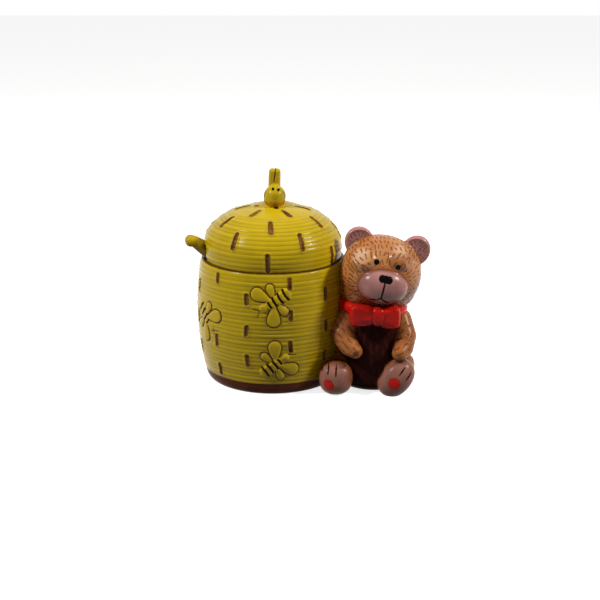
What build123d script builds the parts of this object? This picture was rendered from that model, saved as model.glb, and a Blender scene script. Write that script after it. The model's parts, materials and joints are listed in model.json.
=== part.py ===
from build123d import *
import functools
import math
import os

# Glazed ceramic honey pot: a coiled bee-hive jar with a lift-off lid, a teddy bear luted to its
# side, and a spoon that leaves through a notch in the lid.
#
# Millimetres. The origin is on the jar's axis, on the surface it stands on. +Z is up, the bear
# faces -Y, and sits on the +X side. Azimuths are in degrees, from -Y towards +X.

# ---- Hive jar
belly_radius = 45.9
belly_height = 43.0
side_curve = 158.0          # radius of the side's bulge from foot to shoulder
foot_radius = 37.5
first_coil_height = 6.5
shoulder_height = 71.2
rim_height = 73.8
seat_height = 73.2          # the lid rests here, inside the rim
lip_width = 2.9             # from the shoulder in to the seat
seat_width = 3.4
neck_depth = 5.2            # mouth's straight throat below the seat
throat_slope_height = 3.5
jar_wall = 4.5
jar_floor = 5.0
floor_round = 7.0
coil_pitch = 2.5
coil_bulge = 0.45
lip_bulge = 0.2

# ---- Lid
seat_gap = 0.4              # lid's edge to the rim around it
flange_gap = 0.5            # flange to the mouth
flange_depth = 5.0
flange_wall = 3.2
lid_swell_height = 6.3      # widest height above the seat
lid_rise = 25.2             # from the widest height to the crown
lid_fullness = 2.08         # 2 is an ellipse, more is squarer
lid_wall = 4.0
lid_coil_pitch = 2.8
crown_radius = 7.5          # plain patch under the knob

# ---- Knob: a bee that faces the front
knob_offset = 1.3           # off the axis, as the knob was stuck on
knob_head_radius = 6.4
knob_head_height = 5.7      # centre above the crown
knob_body_radius = 6.4
knob_body_height = 4.4      # its centre above the crown
knob_body_gap = 4.3         # body's centre behind the head's
knob_wing_height = 14.9     # wings' middle above the crown
knob_wing_radius = 1.9
knob_wing_half_length = 6.8

# ---- Notch and spoon
notch_azimuth = -79.0
notch_width = 12.4
notch_height = 10.0
notch_round = 2.5
skirt_height = 9.6          # the lid's notched skirt above the seat, up to the dome proper
spoon_exit_height = 4.2     # stem's middle above the seat, where it leaves the lid
stem_width = 8.0
stem_thickness = 5.2
stem_gap = 0.35
handle_straight = 7.0
handle_bend_radius = 14.0
handle_bend = 20.0          # degrees, towards level
handle_end_width = 9.6
handle_end_thickness = 6.4
bowl_length = 29.0
bowl_width = 20.0
bowl_depth = 7.0
bowl_wall = 2.2
bowl_tip_lift = 1.0         # tip's middle above the floor
bowl_tip_gap = 2.0          # tip's middle to the jar's wall

# ---- Incised dashes
dash_length = 7.0
dash_width = 2.0
dash_depth = 0.8
dash_column_angle = 30.0
first_dash_column = -16.5
dash_row_pitch = 9.5
first_dash_drop = 6.2       # upper row's middle below the rim
lid_dash_length = 8.0

# ---- Relief bees
bee_half_length = 7.8
bee_half_width = 3.0
bee_head_radius = 2.4
fore_wing_radius = 4.1
hind_wing_radius = 2.7
wing_root_radius = 1.3
bee_seat = 0.6              # how far a pad is let into the jar
wing_relief = 0.5
bee_relief = 1.0
bee_head_relief = 1.6
feeler_width = 0.9
feeler_length = 4.0
bee_clearance = 13.2        # nearest a dash comes to a bee's middle

# ---- Bear
bear_stand_off = 14.1       # bear's middle beyond the jar's belly
bear_forward = 18.5
torso_radius = 19.6
torso_height = 50.0
bear_wall = 4.0
vent_radius = 1.6
neck_bore_radius = 6.0
head_lean = 3.4
head_half_width = 22.2
head_radius = 20.3          # in depth and height
head_sink = 0.7             # head's underside below the torso's top
head_tilt = 9.0
cheek_radius = 16.2
muzzle_half_width = 14.2
muzzle_radius = 9.2
muzzle_end_radius = 6.4
nose_half_width = 3.9
nose_radius = 2.6
ear_radius = 7.7
ear_half_depth = 4.5
ear_dish = 3.0
shoulder_radius = 6.0
elbow_radius = 5.8
paw_radius = 4.6
sole_radius = 9.6
toe_radius = 8.6
hip_radius = 8.5
knee_radius = 7.5

# ---- Bow
collar_radius = 16.9
collar_tilt = 6.0
collar_thickness = 3.7
loop_radius = 7.4
loop_half_depth = 3.8
knot_radius = 3.6
knot_half_height = 5.2


# ------------------------------------------------------------------ worked-out sizes
def side_radius(height, outward=0.0):
    """Radius of the jar's smooth side, or of a skin that far outside it."""
    curve = side_curve + outward
    return belly_radius - side_curve + math.sqrt(curve**2 - (height - belly_height) ** 2)


seat_radius = side_radius(shoulder_height) - lip_width
mouth_radius = seat_radius - seat_width
lid_edge_radius = seat_radius - seat_gap
flange_radius = mouth_radius - flange_gap
swell_share = (lid_swell_height / lid_rise) ** lid_fullness
lid_radius = lid_edge_radius / (1 - swell_share) ** (1 / lid_fullness)
lid_middle = seat_height + lid_swell_height
crown_height = lid_middle + lid_rise
bear_x = belly_radius + bear_stand_off
bear_y = -bear_forward
head_centre = Vector(bear_x + head_lean, bear_y - 1.5, torso_height - head_sink + head_radius)


# ------------------------------------------------------------------ shape helpers
def profile_point(radius, height):
    """A point of a turned profile."""
    return Vector(radius, 0, height)


def bulged(start, end, bulge):
    """An arc that stands proud of its chord, to the right of the way it runs."""
    run = end - start
    outward = Vector(run.Z, 0, -run.X).normalized()
    return ThreePointArc(start, (start + end) * 0.5 + outward * bulge, end)


def rounded_corner(start, corner, end):
    """A quarter round from start to end, past the inside of a square corner."""
    middle = start + end - corner
    to_corner = 1 / math.sqrt(2)
    return ThreePointArc(start, middle + (corner - middle) * to_corner, end)


def turned(edges):
    """The solid that a closed profile sweeps about the jar's axis."""
    return revolve(Face(Wire(edges)), Axis.Z)


def tapered_limb(start, end, start_radius, end_radius):
    """Two balls and the cone that touches both."""
    length = (end - start).length
    lean = math.asin((start_radius - end_radius) / length)
    across, along = math.cos(lean), math.sin(lean)
    start_tangent = profile_point(start_radius * across, start_radius * along)
    end_tangent = profile_point(end_radius * across, length + end_radius * along)
    low_turn = (lean - math.pi / 2) / 2
    high_turn = (lean + math.pi / 2) / 2
    low = profile_point(start_radius * math.cos(low_turn), start_radius * math.sin(low_turn))
    high = profile_point(
        end_radius * math.cos(high_turn), length + end_radius * math.sin(high_turn)
    )
    bottom = profile_point(0, -start_radius)
    top = profile_point(0, length + end_radius)
    limb = turned(
        [
            ThreePointArc(bottom, low, start_tangent),
            Line(start_tangent, end_tangent),
            ThreePointArc(end_tangent, high, top),
            Line(top, bottom),
        ]
    )
    return Plane(origin=start, z_dir=end - start).location * limb


def capsule(centre, half_length, radius, way):
    """A round bar with ball ends, about a centre."""
    reach = way.normalized() * (half_length - radius)
    return tapered_limb(centre - reach, centre + reach, radius, radius)


def largest(shape):
    """The main solid of a shape, without the crumbs that a cut leaves beside it."""
    return max(shape.solids(), key=lambda piece: piece.volume)


def carved(solid, *neighbours):
    """A solid with its neighbours taken out of it, one after another."""
    for neighbour in neighbours:
        solid = largest(solid - neighbour)
    return solid


def outward_plane(azimuth, radius, height, rise=0.0):
    """A plane whose normal points away from the axis, climbing by rise degrees."""
    turn = math.radians(azimuth)
    climb = math.radians(rise)
    away = Vector(math.sin(turn), -math.cos(turn), 0)
    tangent = Vector(math.cos(turn), math.sin(turn), 0)
    normal = away * math.cos(climb) + Vector(0, 0, math.sin(climb))
    return Plane(origin=away * radius + Vector(0, 0, height), x_dir=tangent, z_dir=normal)


# ------------------------------------------------------------------ hive jar
def coil_valleys():
    """The profile points between the jar's coils, from the lowest up."""
    count = round((shoulder_height - first_coil_height) / coil_pitch)
    step = (shoulder_height - first_coil_height) / count
    heights = [first_coil_height + step * i for i in range(count + 1)]
    return [profile_point(side_radius(z, -coil_bulge), z) for z in heights]


@functools.lru_cache
def jar_form(outward=0.0):
    """The jar's smooth outer form, or one that far outside it, with no hollow."""
    base = profile_point(side_radius(first_coil_height, outward), -1)
    low = profile_point(side_radius(first_coil_height, outward), first_coil_height)
    waist = profile_point(side_radius(belly_height, outward), belly_height)
    high = profile_point(side_radius(shoulder_height, outward), shoulder_height)
    rim = profile_point(high.X - lip_width / 2, rim_height + outward)
    corner = profile_point(high.X, rim.Z)
    centre_top = profile_point(0, rim.Z)
    centre_base = profile_point(0, -1)
    return turned(
        [
            Line(centre_base, base),
            Line(base, low),
            ThreePointArc(low, waist, high),
            rounded_corner(high, corner, rim),
            Line(rim, centre_top),
            Line(centre_top, centre_base),
        ]
    )


def jar_blank():
    """The coiled jar before its dashes, bees and spoon rest are cut."""
    valleys = coil_valleys()
    foot = profile_point(foot_radius, 0)
    foot_corner = profile_point(valleys[0].X, 0)
    rim_crest = profile_point(valleys[-1].X - lip_width / 2, rim_height)
    rim_corner = profile_point(valleys[-1].X, rim_height)
    lip = profile_point(seat_radius, seat_height)
    seat_round = 1.0
    seat = profile_point(mouth_radius + seat_round, seat_height)
    mouth_corner = profile_point(mouth_radius, seat_height)
    mouth = profile_point(mouth_radius, seat_height - seat_round)
    throat = profile_point(mouth_radius, seat_height - neck_depth)
    wall_top_height = throat.Z - throat_slope_height
    wall_bottom_height = jar_floor + floor_round
    wall_middle_height = (wall_top_height + wall_bottom_height) / 2
    wall_top, wall_middle, wall_bottom = [
        profile_point(side_radius(z, -jar_wall), z)
        for z in (wall_top_height, wall_middle_height, wall_bottom_height)
    ]
    floor_corner = profile_point(wall_bottom.X, jar_floor)
    floor_edge = profile_point(wall_bottom.X - floor_round, jar_floor)
    floor_centre = profile_point(0, jar_floor)
    base_centre = profile_point(0, 0)
    coils = [bulged(a, b, coil_bulge) for a, b in zip(valleys, valleys[1:])]
    return turned(
        [Line(base_centre, foot), rounded_corner(foot, foot_corner, valleys[0])]
        + coils
        + [
            rounded_corner(valleys[-1], rim_corner, rim_crest),
            bulged(lip, rim_crest, -lip_bulge),
            Line(lip, seat),
            rounded_corner(seat, mouth_corner, mouth),
            Line(mouth, throat),
            Line(throat, wall_top),
            ThreePointArc(wall_top, wall_middle, wall_bottom),
            rounded_corner(wall_bottom, floor_corner, floor_edge),
            Line(floor_edge, floor_centre),
            Line(floor_centre, base_centre),
        ]
    )


def dash_cutter(plane, length):
    """A round-ended cutter that stands up and down the plane."""
    outline = plane * (Rot(0, 0, 90) * SlotOverall(length, dash_width))
    return extrude(outline, amount=dash_depth, both=True)


def surface_gap(azimuth, height, other_azimuth, other_height):
    """How far apart two places on the jar's side are."""
    turn = (azimuth - other_azimuth + 180) % 360 - 180
    return math.hypot(math.radians(turn) * belly_radius, height - other_height)


def jar_dashes():
    """Cutters for the dashes: every column skips a row, and neighbours skip different ones."""
    cutters = []
    columns = round(360 / dash_column_angle)
    top_row = rim_height - first_dash_drop
    rows = int((top_row - first_coil_height - dash_length / 2) / dash_row_pitch) + 1
    bear_azimuth = math.degrees(math.atan2(bear_x, bear_forward))
    for column in range(columns):
        azimuth = first_dash_column + column * dash_column_angle
        if abs((azimuth - bear_azimuth + 180) % 360 - 180) < dash_column_angle / 2:
            continue
        for row in range(1 - column % 2, rows, 2):
            height = top_row - row * dash_row_pitch
            gaps = [surface_gap(azimuth, height, place[0], place[1]) for place in bee_places.values()]
            if min(gaps) > bee_clearance:
                spot = outward_plane(azimuth, side_radius(height), height)
                cutters.append(dash_cutter(spot, dash_length))
    return cutters


# ------------------------------------------------------------------ relief bees
def relief(plane, outline, height):
    """An outline as a pad on the jar, from its seat in the wall to a height above the coils."""
    blank = extrude(plane * outline, amount=bee_half_length, both=True)
    return (blank & jar_form(height)) - jar_form(-coil_bulge - bee_seat)


def wing(tip_along, tip_across, tip_radius):
    """A teardrop that narrows to its root beside the bee's waist."""
    root_across = math.copysign(wing_root_radius * 0.6, tip_across)
    root = Pos(tip_along * 0.15, root_across) * Circle(wing_root_radius)
    tip = Pos(tip_along, tip_across) * Circle(tip_radius)
    return make_hull((root + tip).edges())


def relief_bee(azimuth, height, heading):
    """A bee in low relief; heading is the way its head points, anticlockwise from the right."""
    plane = outward_plane(azimuth, side_radius(height), height).rotated((0, 0, heading))
    wings = Circle(wing_root_radius)
    for side in (-1, 1):
        fore_across = side * (bee_half_width + 1.45 * fore_wing_radius)
        hind_across = side * (bee_half_width + 1.85 * hind_wing_radius)
        wings += wing(bee_half_length * 0.83, fore_across, fore_wing_radius)
        wings += wing(-bee_half_length * 0.22, hind_across, hind_wing_radius)
        feeler = Pos(bee_half_length * 1.28, side * feeler_length * 0.3) * Rot(0, 0, side * 35)
        wings += feeler * SlotOverall(feeler_length, feeler_width)
    body = Ellipse(bee_half_length, bee_half_width)
    head = Pos(bee_half_length * 0.95, 0) * Circle(bee_head_radius)
    bee = (
        relief(plane, wings, wing_relief)
        + relief(plane, body, bee_relief)
        + relief(plane, head, bee_head_relief)
    )
    return largest(bee)


shoulder_rise = shoulder_height - belly_height
foot_drop = belly_height - first_coil_height
bee_places = {
    "bee_front_upper": (2.4, belly_height + 0.54 * shoulder_rise, 212),
    "bee_front_lower": (2.5, belly_height - 0.63 * foot_drop, 37),
    "bee_left": (-58.0, belly_height, 321),
    "bee_back_upper": (150.0, belly_height + 0.5 * shoulder_rise, 37),
    "bee_back_lower": (-148.0, belly_height - 0.5 * foot_drop, 150),
}


# ------------------------------------------------------------------ spoon
# The stem lies in one upright plane through the jar's axis, from the notch down to the far corner
# of the floor, where the bowl's tip comes to rest.
exit_height = seat_height + spoon_exit_height
tip_height = jar_floor + bowl_tip_lift
tip_radius = side_radius(tip_height, -jar_wall) - bowl_tip_gap
spoon_slope = math.atan2(exit_height - tip_height, lid_edge_radius + tip_radius)
spoon_reach = math.hypot(exit_height - tip_height, lid_edge_radius + tip_radius)
notch_turn = math.radians(notch_azimuth)
notch_way = Vector(math.sin(notch_turn), -math.cos(notch_turn), 0)
down_spoon = notch_way * -math.cos(spoon_slope) - Vector(0, 0, math.sin(spoon_slope))
out_of_bowl = Vector(0, 0, math.cos(spoon_slope)) - notch_way * math.sin(spoon_slope)
exit_point = notch_way * lid_edge_radius + Vector(0, 0, exit_height)
spoon_frame = Plane(origin=exit_point, x_dir=down_spoon, z_dir=out_of_bowl)


def stem_section(margin=0.0):
    """The stem's round-sided section, drawn across the spoon's length."""
    across_stem = Plane(origin=(0, 0, 0), x_dir=(0, 1, 0), z_dir=(1, 0, 0))
    return across_stem * SlotOverall(stem_width + 2 * margin, stem_thickness + 2 * margin)


def bowl_form(inward=0.0):
    """Everything that is within a long round bowl, up past its open side."""
    rim_half_width = bowl_width / 2
    ball_radius = (bowl_depth**2 + rim_half_width**2) / (2 * bowl_depth)
    middle = Vector(
        spoon_reach - bowl_length / 2, 0, stem_thickness / 2 + ball_radius - bowl_depth
    )
    half_length = bowl_length / 2 - rim_half_width + ball_radius
    return capsule(middle, half_length - inward, ball_radius - inward, Vector(1, 0, 0))


def spoon():
    """Handle lobe, bent neck, straight stem and oval bowl in one casting."""
    bowl_middle = spoon_reach - bowl_length / 2
    bowl_top = stem_thickness / 2
    neck = Pos(-handle_straight, 0, 0) * stem_section()
    stem = extrude(neck, amount=handle_straight + bowl_middle)
    bend = revolve(neck, Axis((-handle_straight, 0, -handle_bend_radius), (0, -1, 0)), handle_bend)
    bend_turn = math.radians(handle_bend)
    end_place = Vector(
        -handle_straight - handle_bend_radius * math.sin(bend_turn),
        0,
        -handle_bend_radius * (1 - math.cos(bend_turn)),
    )
    end = capsule(end_place, handle_end_width / 2, handle_end_thickness / 2, Vector(0, 1, 0))
    above = Pos(bowl_middle, 0, bowl_top + bowl_width) * Box(
        2 * bowl_length, 2 * bowl_width, 2 * bowl_width
    )
    lower_bowl = largest(bowl_form() - above)
    return spoon_frame.location * carved(stem + bend + end + lower_bowl, bowl_form(bowl_wall))


def spoon_rest_cutter():
    """What the stem needs clear where it crosses the jar's rim."""
    path = extrude(stem_section(stem_gap), amount=seat_width + lip_width + stem_width, both=True)
    return spoon_frame.location * path


# ------------------------------------------------------------------ lid
def dome_point(share, inward=0.0):
    """A point of the lid's outer form; share runs from 0 at its widest height to 1 at its crown."""
    turn = share * math.pi / 2
    across = math.cos(turn) ** (2 / lid_fullness) if share < 1 else 0.0
    up = math.sin(turn) ** (2 / lid_fullness) if share > 0 else 0.0
    return profile_point((lid_radius - inward) * across, lid_middle + (lid_rise - inward) * up)


def dome_outline():
    """Close-set points of the lid's outer form, from its edge up to the crown."""
    skirt = []
    steps = 8
    for i in range(steps):
        drop = lid_swell_height * (1 - i / steps)
        radius = lid_radius * (1 - (drop / lid_rise) ** lid_fullness) ** (1 / lid_fullness)
        skirt.append(profile_point(radius, lid_middle - drop))
    shares = 400
    return skirt + [dome_point(i / shares) for i in range(shares + 1)]


def walk(points):
    """Length along a chain of points, up to each of them."""
    lengths = [0.0]
    for a, b in zip(points, points[1:]):
        lengths.append(lengths[-1] + (b - a).length)
    return lengths


def dome_at(distance, points, lengths):
    """The point a given way along the lid's outer form."""
    for i in range(1, len(points)):
        if lengths[i] >= distance:
            share = (distance - lengths[i - 1]) / (lengths[i] - lengths[i - 1])
            return points[i - 1] + (points[i] - points[i - 1]) * share
    return points[-1]


def lid_blank():
    """The coiled dome with its seating flange, before the notch and dashes are cut."""
    outline = dome_outline()
    lengths = walk(outline)
    crown_run = next(
        length for point, length in zip(outline, lengths) if point.X <= crown_radius
    )
    count = round(crown_run / lid_coil_pitch)
    valleys = [dome_at(crown_run * i / count, outline, lengths) for i in range(count + 1)]
    inside = [dome_point(i / 8, lid_wall) for i in range(1, 9)]
    flange_inner = flange_radius - flange_wall
    flange_foot = seat_height - flange_depth
    flange_round = 1.0
    under_edge = profile_point(flange_radius, seat_height)
    flange_outside = profile_point(flange_radius, flange_foot + flange_round)
    flange_corner = profile_point(flange_radius, flange_foot)
    flange_bottom = profile_point(flange_radius - flange_round, flange_foot)
    flange_inside = profile_point(flange_inner, flange_foot)
    flange_top = profile_point(flange_inner, lid_middle - lid_swell_height / 2)
    crown = profile_point(0, crown_height)
    coils = [bulged(a, b, coil_bulge) for a, b in zip(valleys, valleys[1:])]
    return turned(
        [Line(under_edge, valleys[0])]
        + coils
        + [
            Line(valleys[-1], crown),
            Line(crown, inside[-1]),
            Spline(list(reversed(inside))),
            Line(inside[0], flange_top),
            Line(flange_top, flange_inside),
            Line(flange_inside, flange_bottom),
            rounded_corner(flange_bottom, flange_corner, flange_outside),
            Line(flange_outside, under_edge),
        ]
    )


def notch_cutter():
    """A round-cornered slot through the lid's wall and flange, open below."""
    low = seat_height - flange_depth - 2 * notch_round
    depth = seat_height + notch_height - low
    plane = outward_plane(notch_azimuth, 0, low)
    opening = Pos(0, depth / 2) * RectangleRounded(notch_width, depth, notch_round)
    start = flange_radius - flange_wall - 3
    return extrude(plane.offset(start) * opening, amount=lid_radius + 2 - start)


def lid_dashes():
    """Cutters in four rings up the dome, each ring turned by half a step from the last."""
    rings = [
        (0.0, -2.5, lid_dash_length),
        (0.38, 26.0, lid_dash_length),
        (0.62, -1.0, lid_dash_length),
        (0.83, 32.0, lid_dash_length * 0.8),
    ]
    outline = dome_outline()
    lengths = walk(outline)
    cutters = []
    for share, first_azimuth, length in rings:
        if share == 0.0:
            distance = lid_swell_height
        else:
            distance = lid_swell_height + share * (lengths[-1] - lid_swell_height)
        here = dome_at(distance, outline, lengths)
        above = dome_at(distance + 1.0, outline, lengths)
        rise = math.degrees(math.atan2(here.X - above.X, above.Z - here.Z))
        for i in range(6):
            azimuth = first_azimuth + 60 * i
            from_notch = (azimuth - notch_azimuth + 180) % 360 - 180
            if share == 0.0 and abs(from_notch) < 20:
                continue
            cutters.append(dash_cutter(outward_plane(azimuth, here.X, here.Z, rise), length))
    return cutters


# ------------------------------------------------------------------ knob bee
def knob_parts(dome):
    """The bee on the lid: a round head at the front, a striped body behind, two upright wings."""
    head_y = -knob_body_gap / 2
    head_form = Pos(knob_offset, head_y, crown_height + knob_head_height) * Sphere(knob_head_radius)
    body_place = Pos(knob_offset, head_y + knob_body_gap, crown_height + knob_body_height)
    pedestal_height = 2 * knob_body_radius
    pedestal = Pos(knob_offset, 0, crown_height) * Cylinder(knob_body_radius * 0.7, pedestal_height)
    head = carved(head_form, dome)
    body = carved(body_place * Sphere(knob_body_radius) + pedestal, dome, head)
    wing_middle = crown_height + knob_wing_height
    wings = []
    for side in (-1, 1):
        place = Vector(knob_offset - 1.2 + side * knob_wing_radius * 0.94, 0, wing_middle)
        way = Vector(side * 0.03, 0, 1)
        wing_form = capsule(place, knob_wing_half_length, knob_wing_radius, way)
        wings.append(carved(wing_form, head, body, *wings))
    return {
        "knob_bee_head": head,
        "knob_bee_body": body,
        "knob_bee_wings": Compound(wings),
    }


# ------------------------------------------------------------------ bear
def on_torso(across, forward, up):
    """A place on the bear, in shares of the torso's radius and height."""
    return Vector(
        bear_x + across * torso_radius, bear_y - forward * torso_radius, up * torso_height
    )


def on_head(across, forward, up):
    """A place on the bear's tilted head, in shares of its half sizes."""
    tilt = math.radians(head_tilt)
    x = across * head_half_width
    z = up * head_radius
    return Vector(
        head_centre.X + x * math.cos(tilt) + z * math.sin(tilt),
        head_centre.Y - forward * head_radius,
        head_centre.Z - x * math.sin(tilt) + z * math.cos(tilt),
    )


def torso_form(inward=0.0):
    """The sitting torso, round in plan, or its hollow."""
    hip = profile_point(torso_radius * 0.8 - inward, inward)
    seat = profile_point(torso_radius * 0.98 - inward, torso_height * 0.24)
    belly = profile_point(torso_radius - inward, torso_height * 0.44)
    chest = profile_point(torso_radius * 0.93 - inward, torso_height * 0.68)
    collar_line = profile_point(torso_radius * 0.7 - inward, torso_height - inward)
    base = profile_point(0, inward)
    top = profile_point(0, torso_height - inward)
    flank = Spline([hip, seat, belly, chest, collar_line])
    form = turned([Line(base, hip), flank, Line(collar_line, top), Line(top, base)])
    return Pos(bear_x, bear_y, 0) * form


def rounded_disc(centre, radius, half_depth):
    """A disc with a full round edge, facing front and back."""
    rounding = min(half_depth, radius * 0.9)
    flat = radius - rounding
    back, edge, front = [
        profile_point(flat, -half_depth),
        profile_point(radius, 0),
        profile_point(flat, half_depth),
    ]
    axis_back, axis_front = profile_point(0, -half_depth), profile_point(0, half_depth)
    disc = turned(
        [
            Line(axis_back, back),
            ThreePointArc(back, edge, front),
            Line(front, axis_front),
            Line(axis_front, axis_back),
        ]
    )
    return Pos(*centre) * Rot(90, 0, 0) * disc


def ear(across):
    """A round ear with a dished front."""
    place = on_head(across, 0.0, 0.78)
    dish_radius = (ear_dish**2 + (ear_radius * 0.75) ** 2) / (2 * ear_dish)
    dish_place = place - Vector(0, ear_half_depth + dish_radius - ear_dish, 0)
    return rounded_disc(place, ear_radius, ear_half_depth) - Pos(*dish_place) * Sphere(dish_radius)


def arm(shoulder, elbow, paw):
    """An arm in two tapered lengths."""
    upper = tapered_limb(shoulder, elbow, shoulder_radius, elbow_radius)
    return upper + tapered_limb(elbow, paw, elbow_radius, paw_radius)


def foot(sole, toe_way):
    """An upturned foot: a ball for the sole and one for the toes, above and beside it."""
    return tapered_limb(sole, sole + toe_way, sole_radius, toe_radius)


def bear_parts(jar_skin):
    """Every clay part of the bear, each cut back to the ones it is luted onto."""
    ground = Pos(bear_x, bear_y, -torso_height) * Box(
        8 * torso_radius, 8 * torso_radius, 2 * torso_height
    )
    neck_bore = Pos(bear_x, bear_y, torso_height) * Cylinder(neck_bore_radius, 6 * bear_wall)
    vent = Pos(bear_x, bear_y, 0) * Cylinder(vent_radius, 4 * bear_wall)
    torso_outer = carved(torso_form(), jar_skin)
    torso = carved(torso_outer, torso_form(bear_wall), neck_bore, vent)
    across_head = on_head(1.0, 0.0, 0.0) - head_centre
    skull = capsule(head_centre, head_half_width, head_radius, across_head)
    cheek = Pos(*on_head(-0.32, 0.0, -0.32)) * Sphere(cheek_radius)
    head_outer = carved(skull + cheek, jar_skin, torso_outer)
    head_hollow = capsule(
        head_centre, head_half_width - bear_wall, head_radius - bear_wall, across_head
    )
    head = carved(head_outer, head_hollow, neck_bore)
    collar_ring = Pos(*on_torso(-0.03, 0.0, 0.985)) * Rot(0, collar_tilt, 0) * Torus(
        collar_radius, collar_thickness
    )
    collar = carved(collar_ring, torso_outer, head_outer, jar_skin)
    muzzle_place = on_head(0.036, 0.81, -0.28)
    muzzle_end = across_head.normalized() * (muzzle_half_width - muzzle_end_radius)
    muzzle_form = tapered_limb(
        muzzle_place, muzzle_place + muzzle_end, muzzle_radius, muzzle_end_radius
    ) + tapered_limb(muzzle_place, muzzle_place - muzzle_end, muzzle_radius, muzzle_end_radius)
    muzzle = carved(muzzle_form, head_outer)
    nose_place = muzzle_place + Vector(1.1, -muzzle_radius * 0.62, muzzle_radius * 0.77)
    nose_form = capsule(nose_place, nose_half_width, nose_radius, across_head)
    nose = carved(nose_form, muzzle, head_outer)
    right_ear = carved(ear(-0.745), head_outer)
    left_ear = carved(ear(0.86), head_outer)

    right_leg_form = tapered_limb(
        on_torso(-0.62, 0.0, 0.24), on_torso(-0.92, 0.72, 0.32), hip_radius, knee_radius
    )
    left_leg_form = tapered_limb(
        on_torso(0.76, -0.1, 0.26), on_torso(0.88, 0.72, 0.28), hip_radius, knee_radius
    )
    right_leg = carved(right_leg_form, torso_outer, jar_skin, ground)
    left_leg = carved(left_leg_form, torso_outer, ground)
    right_sole = on_torso(-1.17, 0.92, 0) + Vector(0, 0, sole_radius)
    left_sole = on_torso(0.55, 0.92, 0) + Vector(0, 0, sole_radius)
    right_foot_form = foot(right_sole, Vector(-0.7, 1.0, 4.6))
    left_foot_form = foot(left_sole, Vector(3.6, 1.0, 4.2))
    right_foot = carved(right_foot_form, torso_outer, right_leg, jar_skin)
    left_foot = carved(left_foot_form, torso_outer, left_leg)
    right_arm_form = arm(
        on_torso(-0.64, 0.38, 0.91), on_torso(-1.03, 0.69, 0.7), on_torso(-0.65, 1.15, 0.56)
    )
    left_arm_form = arm(
        on_torso(0.78, 0.28, 0.88), on_torso(0.96, 0.49, 0.69), on_torso(0.63, 1.15, 0.54)
    )
    right_arm = carved(
        right_arm_form, torso_outer, head_outer, collar, right_leg, right_foot, jar_skin
    )
    left_arm = carved(left_arm_form, torso_outer, head_outer, collar, left_leg, left_foot)

    around_bow = [torso_outer, head_outer, collar, muzzle, right_arm, left_arm]
    knot_form = capsule(on_torso(0.07, 1.08, 0.94), knot_half_height, knot_radius, Vector(0, 0, 1))
    knot = carved(knot_form, *around_bow)
    right_loop_form = rounded_disc(on_torso(-0.43, 1.0, 0.95), loop_radius, loop_half_depth)
    left_loop_form = rounded_disc(on_torso(0.47, 1.0, 0.91), loop_radius * 0.9, loop_half_depth)
    right_loop = carved(right_loop_form, knot, *around_bow)
    left_loop = carved(left_loop_form, knot, *around_bow)
    return {
        "bear_torso": torso,
        "bear_head": head,
        "bear_muzzle": muzzle,
        "bear_nose": nose,
        "bear_right_ear": right_ear,
        "bear_left_ear": left_ear,
        "bear_right_arm": right_arm,
        "bear_left_arm": left_arm,
        "bear_right_leg": right_leg,
        "bear_left_leg": left_leg,
        "bear_right_foot": right_foot,
        "bear_left_foot": left_foot,
        "bow_collar": collar,
        "bow_knot": knot,
        "bow_right_loop": right_loop,
        "bow_left_loop": left_loop,
    }


# ------------------------------------------------------------------ assembly
bees = {name: relief_bee(*place) for name, place in bee_places.items()}
parts = dict(bees)
jar_cutters = [*bees.values(), *jar_dashes(), spoon_rest_cutter()]
parts["hive_jar"] = largest(jar_blank() - jar_cutters)
parts.update(bear_parts(jar_form()))
lid = largest(lid_blank() - [notch_cutter(), *lid_dashes()])
skirt_top = Plane.XY.offset(seat_height + skirt_height)
parts["lid_skirt"] = largest(lid.split(skirt_top, keep=Keep.BOTTOM))
parts["lid_dome"] = largest(lid.split(skirt_top, keep=Keep.TOP))
parts.update(knob_parts(parts["lid_dome"]))
parts["spoon"] = spoon()

os.makedirs("parts", exist_ok=True)
for name, shape in parts.items():
    shape.label = name
    export_step(shape, f"parts/{name}.step")
print("spoon slope", round(math.degrees(spoon_slope), 2), "draw way", -down_spoon)
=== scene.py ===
import json
import math

import bpy
import numpy as np
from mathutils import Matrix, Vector
from mathutils.bvhtree import BVHTree

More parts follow.
